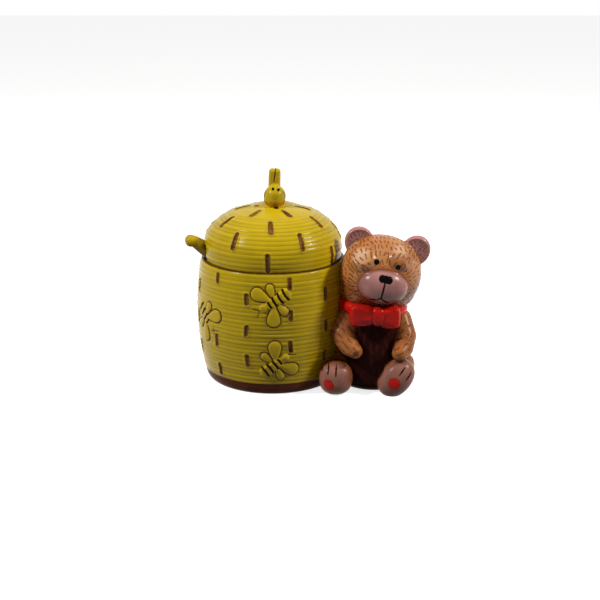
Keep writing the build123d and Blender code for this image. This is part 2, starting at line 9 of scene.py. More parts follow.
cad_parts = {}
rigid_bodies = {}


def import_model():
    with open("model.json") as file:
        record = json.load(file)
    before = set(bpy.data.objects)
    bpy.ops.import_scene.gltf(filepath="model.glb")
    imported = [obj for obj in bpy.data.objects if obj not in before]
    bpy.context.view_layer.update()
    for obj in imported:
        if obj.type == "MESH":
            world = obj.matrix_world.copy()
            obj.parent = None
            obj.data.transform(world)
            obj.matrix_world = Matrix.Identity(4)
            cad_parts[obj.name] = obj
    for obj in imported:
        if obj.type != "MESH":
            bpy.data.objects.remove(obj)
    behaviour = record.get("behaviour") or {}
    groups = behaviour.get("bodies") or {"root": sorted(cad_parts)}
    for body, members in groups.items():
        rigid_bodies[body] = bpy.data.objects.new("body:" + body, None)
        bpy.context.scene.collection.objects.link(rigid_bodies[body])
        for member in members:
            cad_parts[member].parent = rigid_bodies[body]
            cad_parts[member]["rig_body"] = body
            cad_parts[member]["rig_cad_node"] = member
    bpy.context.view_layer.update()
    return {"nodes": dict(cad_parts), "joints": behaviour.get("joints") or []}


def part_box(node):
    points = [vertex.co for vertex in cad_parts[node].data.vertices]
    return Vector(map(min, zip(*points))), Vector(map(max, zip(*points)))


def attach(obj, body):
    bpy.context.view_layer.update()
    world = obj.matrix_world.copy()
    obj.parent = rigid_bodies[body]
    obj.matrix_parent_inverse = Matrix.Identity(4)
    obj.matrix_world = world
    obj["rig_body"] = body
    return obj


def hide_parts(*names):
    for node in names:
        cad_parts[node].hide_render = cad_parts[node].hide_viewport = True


bl_info = {
    "name": "Bear and Hive Honey Pot",
    "version": (1, 0, 0),
    "blender": (4, 5, 0),
    "location": "3D View > Sidebar > Honey Pot",
    "description": "Dresses a coiled beehive jar and the teddy bear beside it in painted glazes",
    "category": "Object",
}

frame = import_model()

MM = 0.001
TO_MM = 1 / MM                    # turns metres into millimetres
FAR = 20 * MM                     # a gap that is too wide to matter
_, JAR_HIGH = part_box("hive_jar")
FLANGE_LOW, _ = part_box("lid_skirt")
KNOB_LOW, KNOB_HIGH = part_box("knob_bee_head")
WINGS_LOW, WINGS_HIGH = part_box("knob_bee_wings")
TORSO_LOW, TORSO_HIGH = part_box("bear_torso")


# ------------------------------------------------------------------ what a user may change
def length(name, description, default):
    """A size in metres."""
    return bpy.props.FloatProperty(
        name=name, description=description, default=default, min=0.0, unit="LENGTH", precision=5
    )


def share(name, description, default):
    """A strength from 0 to 1."""
    return bpy.props.FloatProperty(
        name=name, description=description, default=default, min=0.0, max=1.0, subtype="FACTOR"
    )


def turn(name, description, degrees):
    """An angle, given in degrees."""
    return bpy.props.FloatProperty(
        name=name, description=description, default=math.radians(degrees), subtype="ANGLE"
    )


def tint(name, description, default):
    """A glaze colour, linear."""
    return bpy.props.FloatVectorProperty(
        name=name, description=description, default=default, min=0.0, max=1.0, size=3, subtype="COLOR"
    )


class HoneyPotHive(bpy.types.PropertyGroup):
    """Sizes of the coiled jar and its lid."""

    coil_bulge: length("Coil bulge", "How far a coil stands out of its grooves", 0.34 * MM)
    coil_wander: length("Coil wander", "How far a hand-laid coil strays up and down", 0.22 * MM)
    foot_band: length("Foot band", "Height of the brown band round the foot", 7.4 * MM)
    dash_length: length("Dash length", "Length of a dash on the jar", 7.6 * MM)
    dash_width: length("Dash width", "Width of a dash", 2.45 * MM)
    dash_depth: length("Dash depth", "How deep a dash is pressed", 0.7 * MM)
    lip_height: length("Dash lip", "How high the clay rises round a dash", 0.3 * MM)
    wing_relief: length("Wing relief", "How far a bee's wing stands out of the coils", 0.3 * MM)
    body_relief: length("Body relief", "How far a bee's body stands out of the coils", 0.55 * MM)
    outline_width: length("Outline width", "Width of the line round a bee's wing", 0.85 * MM)


class HoneyPotBear(bpy.types.PropertyGroup):
    """Sizes and turns of the teddy bear."""

    head_tilt: turn("Head tilt", "How far the head leans towards its left", 9.0)
    eye_radius: length("Eye", "Radius of a painted eye", 1.6 * MM)
    stroke_length: length("Fur stroke", "Length of a painted fur stroke", 3.4 * MM)
    stroke_width: length("Fur stroke width", "Width of a painted fur stroke", 0.85 * MM)
    voxel: length("Clay grain", "Fineness of the bear's skin", 0.5 * MM)


class HoneyPotGlazes(bpy.types.PropertyGroup):
    """Colours of the glazes and the paint under them."""

    honey: tint("Honey yellow", "The hive's glaze on its coils", (0.60, 0.425, 0.006))
    olive: tint("Olive", "The hive's glaze where it lies thick in the grooves", (0.27, 0.185, 0.003))
    umber: tint("Umber", "Dashes, foot band and lines", (0.090, 0.021, 0.006))
    soot: tint("Soot", "The darkest paint", (0.040, 0.012, 0.004))
    tan: tint("Tan", "The bear's coat", (0.53, 0.185, 0.042))
    fawn: tint("Fawn", "The bear's coat where it is rubbed pale", (0.62, 0.305, 0.12))
    russet: tint("Russet", "Strokes and shade in the coat", (0.20, 0.046, 0.010))
    mauve: tint("Mauve", "Muzzle, ears and soles", (0.49, 0.215, 0.20))
    plum: tint("Plum", "Shade on the mauve", (0.17, 0.065, 0.062))
    cocoa: tint("Cocoa", "The bear's belly", (0.026, 0.005, 0.004))
    scarlet: tint("Scarlet", "The bow and the spots on the soles", (0.66, 0.010, 0.004))
    wear: share("Uneven glaze", "How strongly the glazes vary over the surface", 0.5)


class HoneyPotStage(bpy.types.PropertyGroup):
    """Camera, floor and light."""

    lens: bpy.props.FloatProperty(
        name="Lens", description="Focal length", default=74.4, unit="CAMERA"
    )
    pitch: turn("Pitch", "How far the camera looks down", 16.99)
    floor_size: length("Floor", "Width of the floor", 6.0)
    camera_place: bpy.props.FloatVectorProperty(
        name="Camera", description="Where the camera stands", size=3, subtype="TRANSLATION",
        default=(0.0162, -0.71575, 0.2644),
    )


# ------------------------------------------------------------------ modelling by hand
def rest_hands():
    """Leaves every tool and lets go of every object."""
    if bpy.context.object and bpy.context.object.mode != "OBJECT":
        bpy.ops.object.mode_set(mode="OBJECT")
    bpy.ops.object.select_all(action="DESELECT")


def pick_up(obj, *others):
    """Selects objects, the first of them active."""
    rest_hands()
    for each in (obj, *others):
        each.select_set(True)
    bpy.context.view_layer.objects.active = obj


def finish_modifier(obj, kind, **settings):
    """Adds a modifier and applies it at once."""
    pick_up(obj)
    modifier = obj.modifiers.new(kind.title(), kind)
    for name, value in settings.items():
        setattr(modifier, name, value)
    bpy.ops.object.modifier_apply(modifier=modifier.name)


def placed(obj, centre, scale=(1.0, 1.0, 1.0), turns=(0.0, 0.0, 0.0)):
    """Scales, turns and moves an object for good."""
    pick_up(obj)
    obj.scale = scale
    obj.rotation_euler = turns
    obj.location = centre
    bpy.ops.object.transform_apply(location=True, rotation=True, scale=True)
    return obj


def add_ball(centre, radii, lean=0.0):
    """A ball, stretched along its axes and leaned in the front plane."""
    rest_hands()
    bpy.ops.mesh.primitive_uv_sphere_add(segments=40, ring_count=24, radius=1.0)
    return placed(bpy.context.object, centre, radii, (0.0, lean, 0.0))


def add_pebble(centre, radii, squareness, lean=0.0):
    """A ball pressed towards a block: squareness 2 is round, and more is squarer."""
    pebble = add_ball((0.0, 0.0, 0.0), (1.0, 1.0, 1.0))
    finish_modifier(pebble, "SUBSURF", levels=1, render_levels=1)
    points = points_of(pebble)
    points /= np.linalg.norm(points, axis=1, keepdims=True)
    move_points(pebble, np.sign(points) * np.abs(points) ** (2.0 / squareness))
    return placed(pebble, centre, radii, (0.0, lean, 0.0))


def joined(pieces):
    """Several objects as one."""
    pick_up(pieces[0], *pieces[1:])
    if len(pieces) > 1:
        bpy.ops.object.join()
    return bpy.context.object


def wrapped(pieces):
    """Several objects as one, with the skin stretched round them."""
    whole = joined(pieces)
    bpy.ops.object.mode_set(mode="EDIT")
    bpy.ops.mesh.select_all(action="SELECT")
    bpy.ops.mesh.convex_hull()
    bpy.ops.object.mode_set(mode="OBJECT")
    return whole


def add_limb(start, end, start_radius, end_radius):
    """Two balls with the skin stretched between them."""
    return wrapped([add_ball(start, (start_radius,) * 3), add_ball(end, (end_radius,) * 3)])


def fused(name, pieces, grain, rubs):
    """One clay skin round shapes that overlap, rubbed smooth."""
    body = joined(pieces)
    body.name = name
    finish_modifier(body, "REMESH", mode="VOXEL", voxel_size=grain, use_smooth_shade=True)
    finish_modifier(body, "SMOOTH", factor=0.5, iterations=rubs)
    return body


def points_of(obj):
    """An object's points, one row each."""
    points = np.empty(len(obj.data.vertices) * 3)
    obj.data.vertices.foreach_get("co", points)
    return points.reshape(-1, 3)


def move_points(obj, points):
    """Puts an object's points in new places."""
    obj.data.vertices.foreach_set("co", points.ravel())
    obj.data.update()


def paint_values(obj, name, values):
    """Keeps one number for each point, for a material to read."""
    layer = obj.data.attributes.new(name, "FLOAT", "POINT")
    layer.data.foreach_set("value", np.asarray(values, np.float32))


def eased(values, low, high):
    """0 below low, 1 above high and an S between them, either way round."""
    t = np.clip((values - low) / (high - low), 0.0, 1.0)
    return t * t * (3.0 - 2.0 * t)


def turned_skin(name, profile, steps):
    """A closed skin, spun from a profile that starts and ends on the upright axis."""
    rest_hands()
    mesh = bpy.data.meshes.new(name)
    corners = [(radius, 0.0, height) for radius, height in profile]
    mesh.from_pydata(corners, [(i, i + 1) for i in range(len(corners) - 1)], [])
    skin = bpy.data.objects.new(name, mesh)
    bpy.context.scene.collection.objects.link(skin)
    pick_up(skin)
    bpy.ops.object.mode_set(mode="EDIT")
    bpy.ops.mesh.select_all(action="SELECT")
    bpy.ops.mesh.spin(steps=steps, angle=2 * math.pi, center=(0, 0, 0), axis=(0, 0, 1))
    bpy.ops.mesh.select_all(action="SELECT")
    bpy.ops.mesh.remove_doubles(threshold=0.001 * MM)
    bpy.ops.mesh.normals_make_consistent(inside=False)
    bpy.ops.object.mode_set(mode="OBJECT")
    return skin


def refine_where(obj, wanted):
    """Cuts the faces finer where wanted(points) is true at their middles."""
    middles = np.empty(len(obj.data.polygons) * 3)
    obj.data.polygons.foreach_get("center", middles)
    chosen = wanted(middles.reshape(-1, 3))
    pick_up(obj)
    bpy.ops.object.mode_set(mode="EDIT")
    bpy.ops.mesh.select_mode(type="FACE")
    bpy.ops.mesh.select_all(action="DESELECT")
    bpy.ops.object.mode_set(mode="OBJECT")
    obj.data.polygons.foreach_set("select", chosen)
    bpy.ops.object.mode_set(mode="EDIT")
    bpy.ops.mesh.subdivide(number_cuts=1)
    bpy.ops.mesh.select_mode(type="VERT")
    bpy.ops.object.mode_set(mode="OBJECT")


def cut_away(obj, cutter):
    """Takes one closed shape out of another."""
    finish_modifier(obj, "BOOLEAN", operation="DIFFERENCE", object=cutter, solver="EXACT")
    bpy.data.objects.remove(cutter)


def smooth_all(obj, degrees=40.0):
    """Smooth shading, with true corners left sharp."""
    pick_up(obj)
    bpy.ops.object.shade_smooth_by_angle(angle=math.radians(degrees))


def settle(obj, body, material, slot, *nodes):
    """Gives a piece its glaze, its body and the nodes it stands for."""
    obj.data.materials.clear()
    obj.data.materials.append(material)
    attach(obj, body)
    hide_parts(*nodes)


# ------------------------------------------------------------------ shader building
EDGE_GRAIN = 900.0                # noise scale of a brush's unsteady edge
WAVE_GRAIN, WAVE_REACH = 160.0, 3.0 * MM  # how the lay of the fur strays
FINE_GRAIN, SWELL_GRAIN = 420.0, 190.0  # the glaze's fine and slow unevenness
DARK_PAINT, PALE_PAINT = 0.01, 0.12  # brightness over which a glaze comes to its full shine


class Net:
    """Adds nodes to a tree and links what they are given."""

    def __init__(self, tree):
        self.tree = tree

    def add(self, kind, **settings):
        node = self.tree.nodes.new(kind)
        for name, value in settings.items():
            setattr(node, name, value)
        return node

    def feed(self, socket, value):
        if isinstance(value, bpy.types.NodeSocket):
            self.tree.links.new(value, socket)
        elif socket.type == "RGBA" and len(value) == 3:
            socket.default_value = (*value, 1.0)
        else:
            socket.default_value = value

    def math(self, operation, *values, clamp=False):
        node = self.add("ShaderNodeMath", operation=operation, use_clamp=clamp)
        for socket, value in zip(node.inputs, values):
            self.feed(socket, value)
        return node.outputs[0]

    def times(self, product, *others):
        for other in others:
            product = self.math("MULTIPLY", product, other)
        return product

    def largest(self, most, *others):
        for other in others:
            most = self.math("MAXIMUM", most, other)
        return most

    def plus(self, first, second, clamp=False):
        return self.math("ADD", first, second, clamp=clamp)

    def minus(self, first, second):
        return self.math("SUBTRACT", first, second)

    def ramp(self, value, slope, start):
        return self.math("MULTIPLY_ADD", value, slope, start)

    def vector(self, operation, *values, number=False):
        node = self.add("ShaderNodeVectorMath", operation=operation)
        sockets = node.inputs if operation != "SCALE" else (node.inputs[0], node.inputs[3])
        for socket, value in zip(sockets, values):
            self.feed(socket, value)
        return node.outputs["Value" if number else "Vector"]

    def eased(self, value, low, high):
        node = self.add("ShaderNodeMapRange", interpolation_type="SMOOTHSTEP")
        for socket, given in zip(node.inputs, (value, low, high)):
            self.feed(socket, given)
        return node.outputs[0]

    def mix(self, share, first, second):
        node = self.add("ShaderNodeMix", data_type="RGBA")
        for socket, value in ((node.inputs[0], share), (node.inputs[6], first), (node.inputs[7], second)):
            self.feed(socket, value)
        return node.outputs[2]

    def cover(self, paint, colour, *shares):
        """A colour over paint, as strong as its shares multiplied."""
        return self.mix(self.times(*shares), paint, colour)

    def noise(self, vector, scale, detail=2.0, colour=False):
        node = self.add("ShaderNodeTexNoise")
        self.feed(node.inputs["Vector"], vector)
        node.inputs["Scale"].default_value = scale
        node.inputs["Detail"].default_value = detail
        return node.outputs["Color"] if colour else node.outputs[0]

    def kept(self, name):
        return self.add("ShaderNodeAttribute", attribute_name=name).outputs["Fac"]

    def split(self, vector):
        node = self.add("ShaderNodeSeparateXYZ")
        self.feed(node.inputs[0], vector)
        return node.outputs

    def effect(self, group, **values):
        node = self.add("ShaderNodeGroup", node_tree=group)
        for name, value in values.items():
            self.feed(node.inputs[name], value)
        return node.outputs[0]


def effect_group(name, output, **inputs):
    """An empty shader effect with one output and inputs of the kinds given: its Net and its inputs."""
    tree = bpy.data.node_groups.new(name, "ShaderNodeTree")
    for socket_name, kind in inputs.items():
        tree.interface.new_socket(name=socket_name, in_out="INPUT", socket_type="NodeSocket" + kind)
    tree.interface.new_socket(name=output, in_out="OUTPUT", socket_type="NodeSocketFloat")
    net = Net(tree)
    return net, net.add("NodeGroupInput").outputs


def close_group(net, result):
    """Sends a group's result out."""
    net.tree.links.new(result, net.add("NodeGroupOutput").inputs[0])
    return net.tree


def painted_edge_group():
    """Paint where a gap, in millimetres, is below 0, with a brush's unsteady edge."""
    net, given = effect_group(
        "Painted Edge", "Paint", Place="Vector", Gap="Float", Wobble="Float", Softness="Float"
    )
    wander = net.minus(net.noise(given["Place"], EDGE_GRAIN, 3.0), 0.5)
    gap = net.plus(given["Gap"], net.times(wander, given["Wobble"]))
    half = net.times(given["Softness"], 0.5)
    return close_group(net, net.eased(gap, half, net.times(half, -1.0)))


def painted_spot_group(edge):
    """A round spot of paint."""
    net, given = effect_group(
        "Painted Spot", "Paint", Place="Vector", Middle="Vector", Radius="Float", Wobble="Float"
    )
    away = net.vector("DISTANCE", given["Place"], given["Middle"], number=True)
    gap = net.times(net.minus(away, given["Radius"]), TO_MM)
    return close_group(
        net, net.effect(edge, Place=given["Place"], Gap=gap, Wobble=given["Wobble"], Softness=0.25)
    )


def painted_line_group(edge):
    """One stroke of a brush between two places, thick in the middle."""
    net, given = effect_group(
        "Painted Line", "Paint",
        Place="Vector", Start="Vector", End="Vector", Width="Float", Wobble="Float",
    )
    along = net.vector("SUBTRACT", given["End"], given["Start"])
    reach = net.vector("SUBTRACT", given["Place"], given["Start"])
    dot = net.vector("DOT_PRODUCT", reach, along, number=True)
    full = net.vector("DOT_PRODUCT", along, along, number=True)
    way = net.math("DIVIDE", dot, full, clamp=True)
    nearest = net.vector("SCALE", along, way)
    away = net.vector("LENGTH", net.vector("SUBTRACT", reach, nearest), number=True)
    taper = net.ramp(net.times(way, net.minus(1.0, way)), 1.6, 0.6)
    half = net.times(given["Width"], 0.5, taper)
    gap = net.times(net.minus(away, half), TO_MM)
    return close_group(
        net, net.effect(edge, Place=given["Place"], Gap=gap, Wobble=given["Wobble"], Softness=0.22)
    )


def fur_group(edge):
    """Short strokes in rings about the local -Y axis, shifted and shortened by chance."""
    net, given = effect_group(
        "Fur Strokes", "Paint",
        Place="Vector", Round="Float", Ring="Float", Spacing="Float", Length="Float", Width="Float",
    )

    def strayed(steps, cell, chance, reach, size):
        """Distance from a stroke's middle, which lies a little off the middle of its cell."""
        from_middle = net.minus(net.minus(steps, cell), 0.5)
        stray = net.times(net.minus(chance, 0.5), reach)
        return net.times(net.plus(from_middle, stray), size)

    noise = net.vector("SUBTRACT", net.noise(given["Place"], WAVE_GRAIN, colour=True), (0.5, 0.5, 0.5))
    place = net.vector("ADD", given["Place"], net.vector("SCALE", noise, WAVE_REACH))
    x, y, z = net.split(place)
    radius = net.vector("LENGTH", place, number=True)
    tilt = net.math("ARCCOSINE", net.math("DIVIDE", net.times(y, -1.0), radius))
    out = net.math("DIVIDE", net.times(tilt, given["Round"]), given["Ring"])
    ring = net.math("FLOOR", out)
    ring_tilt = net.math("DIVIDE", net.times(net.plus(ring, 0.5), given["Ring"]), given["Round"])
    ring_round = net.times(net.math("SINE", ring_tilt), given["Round"], 2 * math.pi)
    strokes = net.math("ROUND", net.math("DIVIDE", ring_round, given["Spacing"]))
    count = net.largest(strokes, 3.0)
    turn_share = net.plus(net.math("DIVIDE", net.math("ARCTAN2", z, x), 2 * math.pi), 0.5)
    shifted = net.plus(net.times(turn_share, count), net.times(ring, 0.37))
    cell = net.math("FLOOR", shifted)
    cell_key = net.add("ShaderNodeCombineXYZ")
    net.feed(cell_key.inputs[0], net.math("FLOORED_MODULO", cell, count))
    net.feed(cell_key.inputs[1], ring)
    chance = net.add("ShaderNodeTexWhiteNoise", noise_dimensions="3D")
    net.feed(chance.inputs["Vector"], cell_key.outputs[0])
    along_chance, across_chance, size_chance = net.split(chance.outputs["Color"])
    across = strayed(shifted, cell, across_chance, 0.36, given["Spacing"])
    along = strayed(out, ring, along_chance, 0.34, given["Ring"])
    lean = net.times(net.minus(across_chance, 0.5), 0.7)
    across = net.plus(across, net.times(along, lean))
    half_length = net.times(given["Length"], 0.5, net.ramp(size_chance, 0.75, 0.35))
    past_end = net.largest(net.minus(net.math("ABSOLUTE", along), half_length), 0.0)
    away = net.math("SQRT", net.plus(net.times(across, across), net.times(past_end, past_end)))
    gap = net.times(net.minus(away, net.times(given["Width"], 0.5)), TO_MM)
    return close_group(net, net.effect(edge, Place=given["Place"], Gap=gap, Wobble=0.45, Softness=0.45))


def drift_group():
    """Slow change over the glaze, from 0 to 1, from patches and runs."""
    net, given = effect_group("Glaze Drift", "Drift", Place="Vector", Size="Float")
    scaled = net.vector("SCALE", given["Place"], net.math("DIVIDE", 1.0, given["Size"]))
    patches = net.noise(scaled, 1.0, 3.0)
    runs = net.noise(net.vector("MULTIPLY", scaled, (2.2, 2.2, 0.45)), 1.0, 2.0)
    both = net.plus(net.times(patches, 0.6), net.times(runs, 0.4))
    return close_group(net, net.eased(both, 0.3, 0.7))


EFFECTS = {
    "edge": "Painted Edge",
    "spot": "Painted Spot",
    "line": "Painted Line",
    "fur": "Fur Strokes",
    "drift": "Glaze Drift",
}


def named_effects():
    """The shared effects, built once and found by name after that."""
    if EFFECTS["edge"] not in bpy.data.node_groups:
        edge = painted_edge_group()
        for build in (painted_spot_group, painted_line_group, fur_group):
            build(edge)
        drift_group()
    return {key: bpy.data.node_groups[name] for key, name in EFFECTS.items()}


class Brush(Net):
    """Nodes of one glaze, with the place on the object, the colours and the shared effects."""

    def __init__(self, tree, glazes):
        super().__init__(tree)
        self.glazes = glazes
        self.effects = named_effects()
        self.place = self.add("ShaderNodeTexCoord").outputs["Object"]

    def drift(self, size):
        return self.effect(self.effects["drift"], Place=self.place, Size=size)

    def edge(self, gap, wobble, softness):
        return self.effect(
            self.effects["edge"], Place=self.place, Gap=gap, Wobble=wobble, Softness=softness
        )

    def kept_edge(self, name, wobble, softness):
        return self.edge(self.kept(name), wobble, softness)

    def away(self, middle):
        return self.vector("DISTANCE", self.place, middle, number=True)


def glazed(name, glazes, colour_of, shine=0.16, ripple=0.05, gloss=0.1, **wanted):
    """A fired, shiny glaze. colour_of gives its colour and how deep it is carved, in mm."""
    material = bpy.data.materials.new(name)
    material.use_nodes = True
    net = Brush(material.node_tree, glazes)
    clay = material.node_tree.nodes["Principled BSDF"]
    colour, carved = colour_of(net, **wanted)
    net.feed(clay.inputs["Base Color"], colour)
    fine = net.noise(net.place, FINE_GRAIN, 3.0)
    net.feed(clay.inputs["Roughness"], net.ramp(fine, 0.12, shine))
    pale = net.add("ShaderNodeRGBToBW")
    net.feed(pale.inputs[0], colour)
    lit = net.eased(pale.outputs[0], DARK_PAINT, PALE_PAINT)
    net.feed(clay.inputs["Specular IOR Level"], net.ramp(lit, gloss * 0.85, gloss * 0.15))
    bump = net.add("ShaderNodeBump")
    swell = net.plus(net.noise(net.place, SWELL_GRAIN, 2.0), net.times(fine, 0.25))
    net.feed(bump.inputs["Height"], net.minus(net.times(swell, ripple), carved))
    bump.inputs["Strength"].default_value = 1.0
    bump.inputs["Distance"].default_value = MM
    net.feed(clay.inputs["Normal"], bump.outputs[0])
    return material


# ------------------------------------------------------------------ the hive's form
COIL_ROWS = 6                     # rows of faces up one coil
SKIN_STEPS = 300                  # columns of faces round the hive
FINE_REACH = 0.9 * MM             # the skin is cut finer this near a dash or a bee's edge
CORNER = 55.0                     # degrees from which an edge of the hive stays sharp
BELLY_HEIGHT = 43.0 * MM
SIDE_CURVE = 158.0 * MM
BELLY_RADIUS = JAR_HIGH.x
FOOT_RADIUS = 37.5 * MM
FIRST_COIL = 6.5 * MM
SHOULDER = 71.2 * MM
RIM = 73.8 * MM
SEAT = FLANGE_LOW.z + 5.0 * MM
LIP_WIDTH = 2.9 * MM
SEAT_WIDTH = 3.4 * MM
NECK_DEPTH = 5.2 * MM
THROAT_SLOPE = 3.5 * MM
JAR_WALL = 4.5 * MM
JAR_FLOOR = 5.0 * MM
FLOOR_ROUND = 7.0 * MM
JAR_PITCH = 2.5 * MM
LID_PITCH = 2.8 * MM
LID_RISE = 25.2 * MM
LID_SWELL = 6.3 * MM
LID_FULLNESS = 2.15
SKIRT_POINTS = 12                 # points of the dome's line below its widest place
LID_WALL = 4.0 * MM
LID_EDGE = 40.06 * MM
CROWN_RADIUS = 7.5 * MM
FLANGE_WALL = 3.2 * MM
LID_RADIUS = LID_EDGE / (1 - (LID_SWELL / LID_RISE) ** LID_FULLNESS) ** (1 / LID_FULLNESS)
NOTCH_AZIMUTH = -79.0
NOTCH_WIDTH = 12.4 * MM
NOTCH_HEIGHT = 10.0 * MM
NOTCH_ROUND = 2.5 * MM
NOTCH_SIDE = 20.0 * MM            # the notch's half of the lid lies farther out than this
NOTCH_CLEAR = 20.0                # degrees either side of the notch that hold no dash


def side_radius(height):
    """Radius of the jar's side over its coils."""
    return BELLY_RADIUS - SIDE_CURVE + np.sqrt(SIDE_CURVE**2 - (np.asarray(height) - BELLY_HEIGHT) ** 2)


SEAT_RADIUS = float(side_radius(SHOULDER)) - LIP_WIDTH
MOUTH_RADIUS = SEAT_RADIUS - SEAT_WIDTH


def quarter(start, end, count, upright_first):
    """Points of a quarter round between two profile points, without the first."""
    (r0, z0), (r1, z1) = start, end
    points = []
    for i in range(1, count + 1):
        t = i / count * math.pi / 2
        if upright_first:
            points.append((r0 + (r1 - r0) * (1 - math.cos(t)), z0 + (z1 - z0) * math.sin(t)))
        else:
            points.append((r0 + (r1 - r0) * math.sin(t), z0 + (z1 - z0) * (1 - math.cos(t))))
    return points


def jar_profile(bulge):
    """The jar's half section, from the middle of its foot up over the rim and down inside."""

    def valley(height):
        return float(side_radius(height)) - bulge, height

    coils = round((SHOULDER - FIRST_COIL) / JAR_PITCH)
    rows = coils * COIL_ROWS
    points = [(0.0, 0.0), (FOOT_RADIUS * 0.7, 0.0), (FOOT_RADIUS, 0.0)]
    points += quarter(points[-1], valley(FIRST_COIL), 8, False)
    points += [valley(FIRST_COIL + (SHOULDER - FIRST_COIL) * i / rows) for i in range(1, rows + 1)]
    crest = (valley(SHOULDER)[0] - LIP_WIDTH / 2, RIM)
    points += quarter(points[-1], crest, 5, True)
    points += [((crest[0] + SEAT_RADIUS) / 2, (RIM + SEAT) / 2 + 0.1 * MM), (SEAT_RADIUS, SEAT)]
    points += [(MOUTH_RADIUS + 1.0 * MM, SEAT)]
    points += quarter(points[-1], (MOUTH_RADIUS, SEAT - 1.0 * MM), 4, False)
    throat = SEAT - NECK_DEPTH
    wall_top = throat - THROAT_SLOPE
    points += [(MOUTH_RADIUS, throat)]
    low = JAR_FLOOR + FLOOR_ROUND
    steps = 14
    heights = [wall_top + (low - wall_top) * i / steps for i in range(steps + 1)]
    points += [(float(side_radius(z)) - JAR_WALL, z) for z in heights]
    wall_foot = points[-1]
    points += quarter(wall_foot, (wall_foot[0] - FLOOR_ROUND, JAR_FLOOR), 5, True)
    return points + [(FOOT_RADIUS * 0.4, JAR_FLOOR), (0.0, JAR_FLOOR)]


def dome_line():
    """Radius, height and length along it of the lid's outer line, from its edge to the crown."""
    middle = SEAT + LID_SWELL
    drops = np.linspace(LID_SWELL, 0, SKIRT_POINTS, endpoint=False)
    skirt = LID_RADIUS * (1 - (drops / LID_RISE) ** LID_FULLNESS) ** (1 / LID_FULLNESS)
    turns = np.linspace(0, math.pi / 2, 400)
    dome = LID_RADIUS * np.clip(np.cos(turns), 0, 1) ** (2 / LID_FULLNESS)
    radius = np.concatenate([skirt, dome])
    height = np.concatenate([middle - drops, middle + LID_RISE * np.sin(turns) ** (2 / LID_FULLNESS)])
    radius[-1] = 0.0
    run = np.concatenate([[0.0], np.cumsum(np.hypot(np.diff(radius), np.diff(height)))])
    return radius, height, run


DOME_RADIUS, DOME_HEIGHT, DOME_RUN = dome_line()
CROWN_RUN = float(np.interp(-CROWN_RADIUS, -DOME_RADIUS, DOME_RUN))
LID_COILS = round(CROWN_RUN / LID_PITCH)


def on_dome(run):
    """Radius and height of the dome's line at a length along it."""
    return np.interp(run, DOME_RUN, DOME_RADIUS), np.interp(run, DOME_RUN, DOME_HEIGHT)


def dome_run(radius, height):
    """Length along the dome's line of places on it, found by height low down and by radius above."""
    low_run = np.interp(height, DOME_HEIGHT, DOME_RUN)
    high_run = np.interp(-radius, -DOME_RADIUS[SKIRT_POINTS:], DOME_RUN[SKIRT_POINTS:])
    return np.where(height < SEAT + LID_SWELL + LID_RISE * 0.6, low_run, high_run)


def lid_profile():
    """The lid's half section, from the crown's outside down to the flange and up inside."""
    runs = np.linspace(DOME_RUN[-1], CROWN_RUN, 7)[:-1].tolist()
    runs += np.linspace(CROWN_RUN, 0.0, LID_COILS * COIL_ROWS + 1).tolist()
    radius, height = on_dome(runs)
    flange = MOUTH_RADIUS - 0.5 * MM
    inner = flange - FLANGE_WALL
    foot = FLANGE_LOW.z
    points = [*zip(radius.tolist(), height.tolist()), (flange, SEAT), (flange, foot + 1.0 * MM)]
    points += quarter(points[-1], (flange - 1.0 * MM, foot), 4, True)
    middle = SEAT + LID_SWELL
    points += [(inner, foot), (inner, middle - LID_SWELL / 2)]
    steps = 14
    for i in range(2, steps + 1):
        t = i / steps * math.pi / 2
        across = max(math.cos(t), 0.0) ** (2 / LID_FULLNESS) if i < steps else 0.0
        up = math.sin(t) ** (2 / LID_FULLNESS)
        points.append(((LID_RADIUS - LID_WALL) * across, middle + (LID_RISE - LID_WALL) * up))
    return points


# ------------------------------------------------------------------ dashes and bees, by distance
DASH_ROW = 18.6 * MM
LOWEST_DASH = 9.0 * MM
BEE_CLEARANCE = 1.2 * MM
DASH_COLUMNS = (                  # azimuth of a column and height of its top dash, round from the left
    (-72.0, 59.4),
    (-45.0, 68.4),
    (-18.3, 58.9),
    (13.6, 68.3),
    (43.2, 59.2),
    (131.0, 68.4),
    (158.0, 59.0),
    (186.0, 68.2),
    (214.0, 59.2),
    (242.0, 68.3),
    (266.0, 66.0),
)
BEE_PLACES = (                    # azimuth, height, heading; the last two are on the back
    (2.4, BELLY_HEIGHT + 0.54 * (SHOULDER - BELLY_HEIGHT), 212.0),
    (2.5, BELLY_HEIGHT - 0.63 * (BELLY_HEIGHT - FIRST_COIL), 37.0),
    (-58.0, BELLY_HEIGHT, 321.0),
    (150.0, BELLY_HEIGHT + 0.5 * (SHOULDER - BELLY_HEIGHT), 37.0),
    (-148.0, BELLY_HEIGHT - 0.5 * (BELLY_HEIGHT - FIRST_COIL), 150.0),
)
BEE_WINGS = (                     # tip along and across the bee, and its radius, in mm
    (6.5, 9.0, 4.1),
    (-1.7, 8.0, 2.7),
)
BEE_REACH = 19.0 * MM
BEE_HEAD, BEE_HEAD_RADIUS = 7.4 * MM, 2.5 * MM
BEE_TAIL, BEE_BODY_HALF, BEE_BODY_RADIUS = -2.2 * MM, 5.2 * MM, 2.9 * MM
BEE_BODY_FLARE = 0.06
FEELER_ROOT, FEELER_TIP = np.array((10.3, 0.0)) * MM, np.array((13.2, 2.9)) * MM
FEELER_RADIUS = 0.3 * MM
BAR_RADIUS, BAR_ROUND, BAR_BEND = 0.74 * MM, 0.6, 0.035
OUTLINE_DEPTH, BAR_DEPTH, FEELER_DEPTH, HEAD_RELIEF = 0.55 * MM, 0.8 * MM, 0.35 * MM, 1.5 * MM
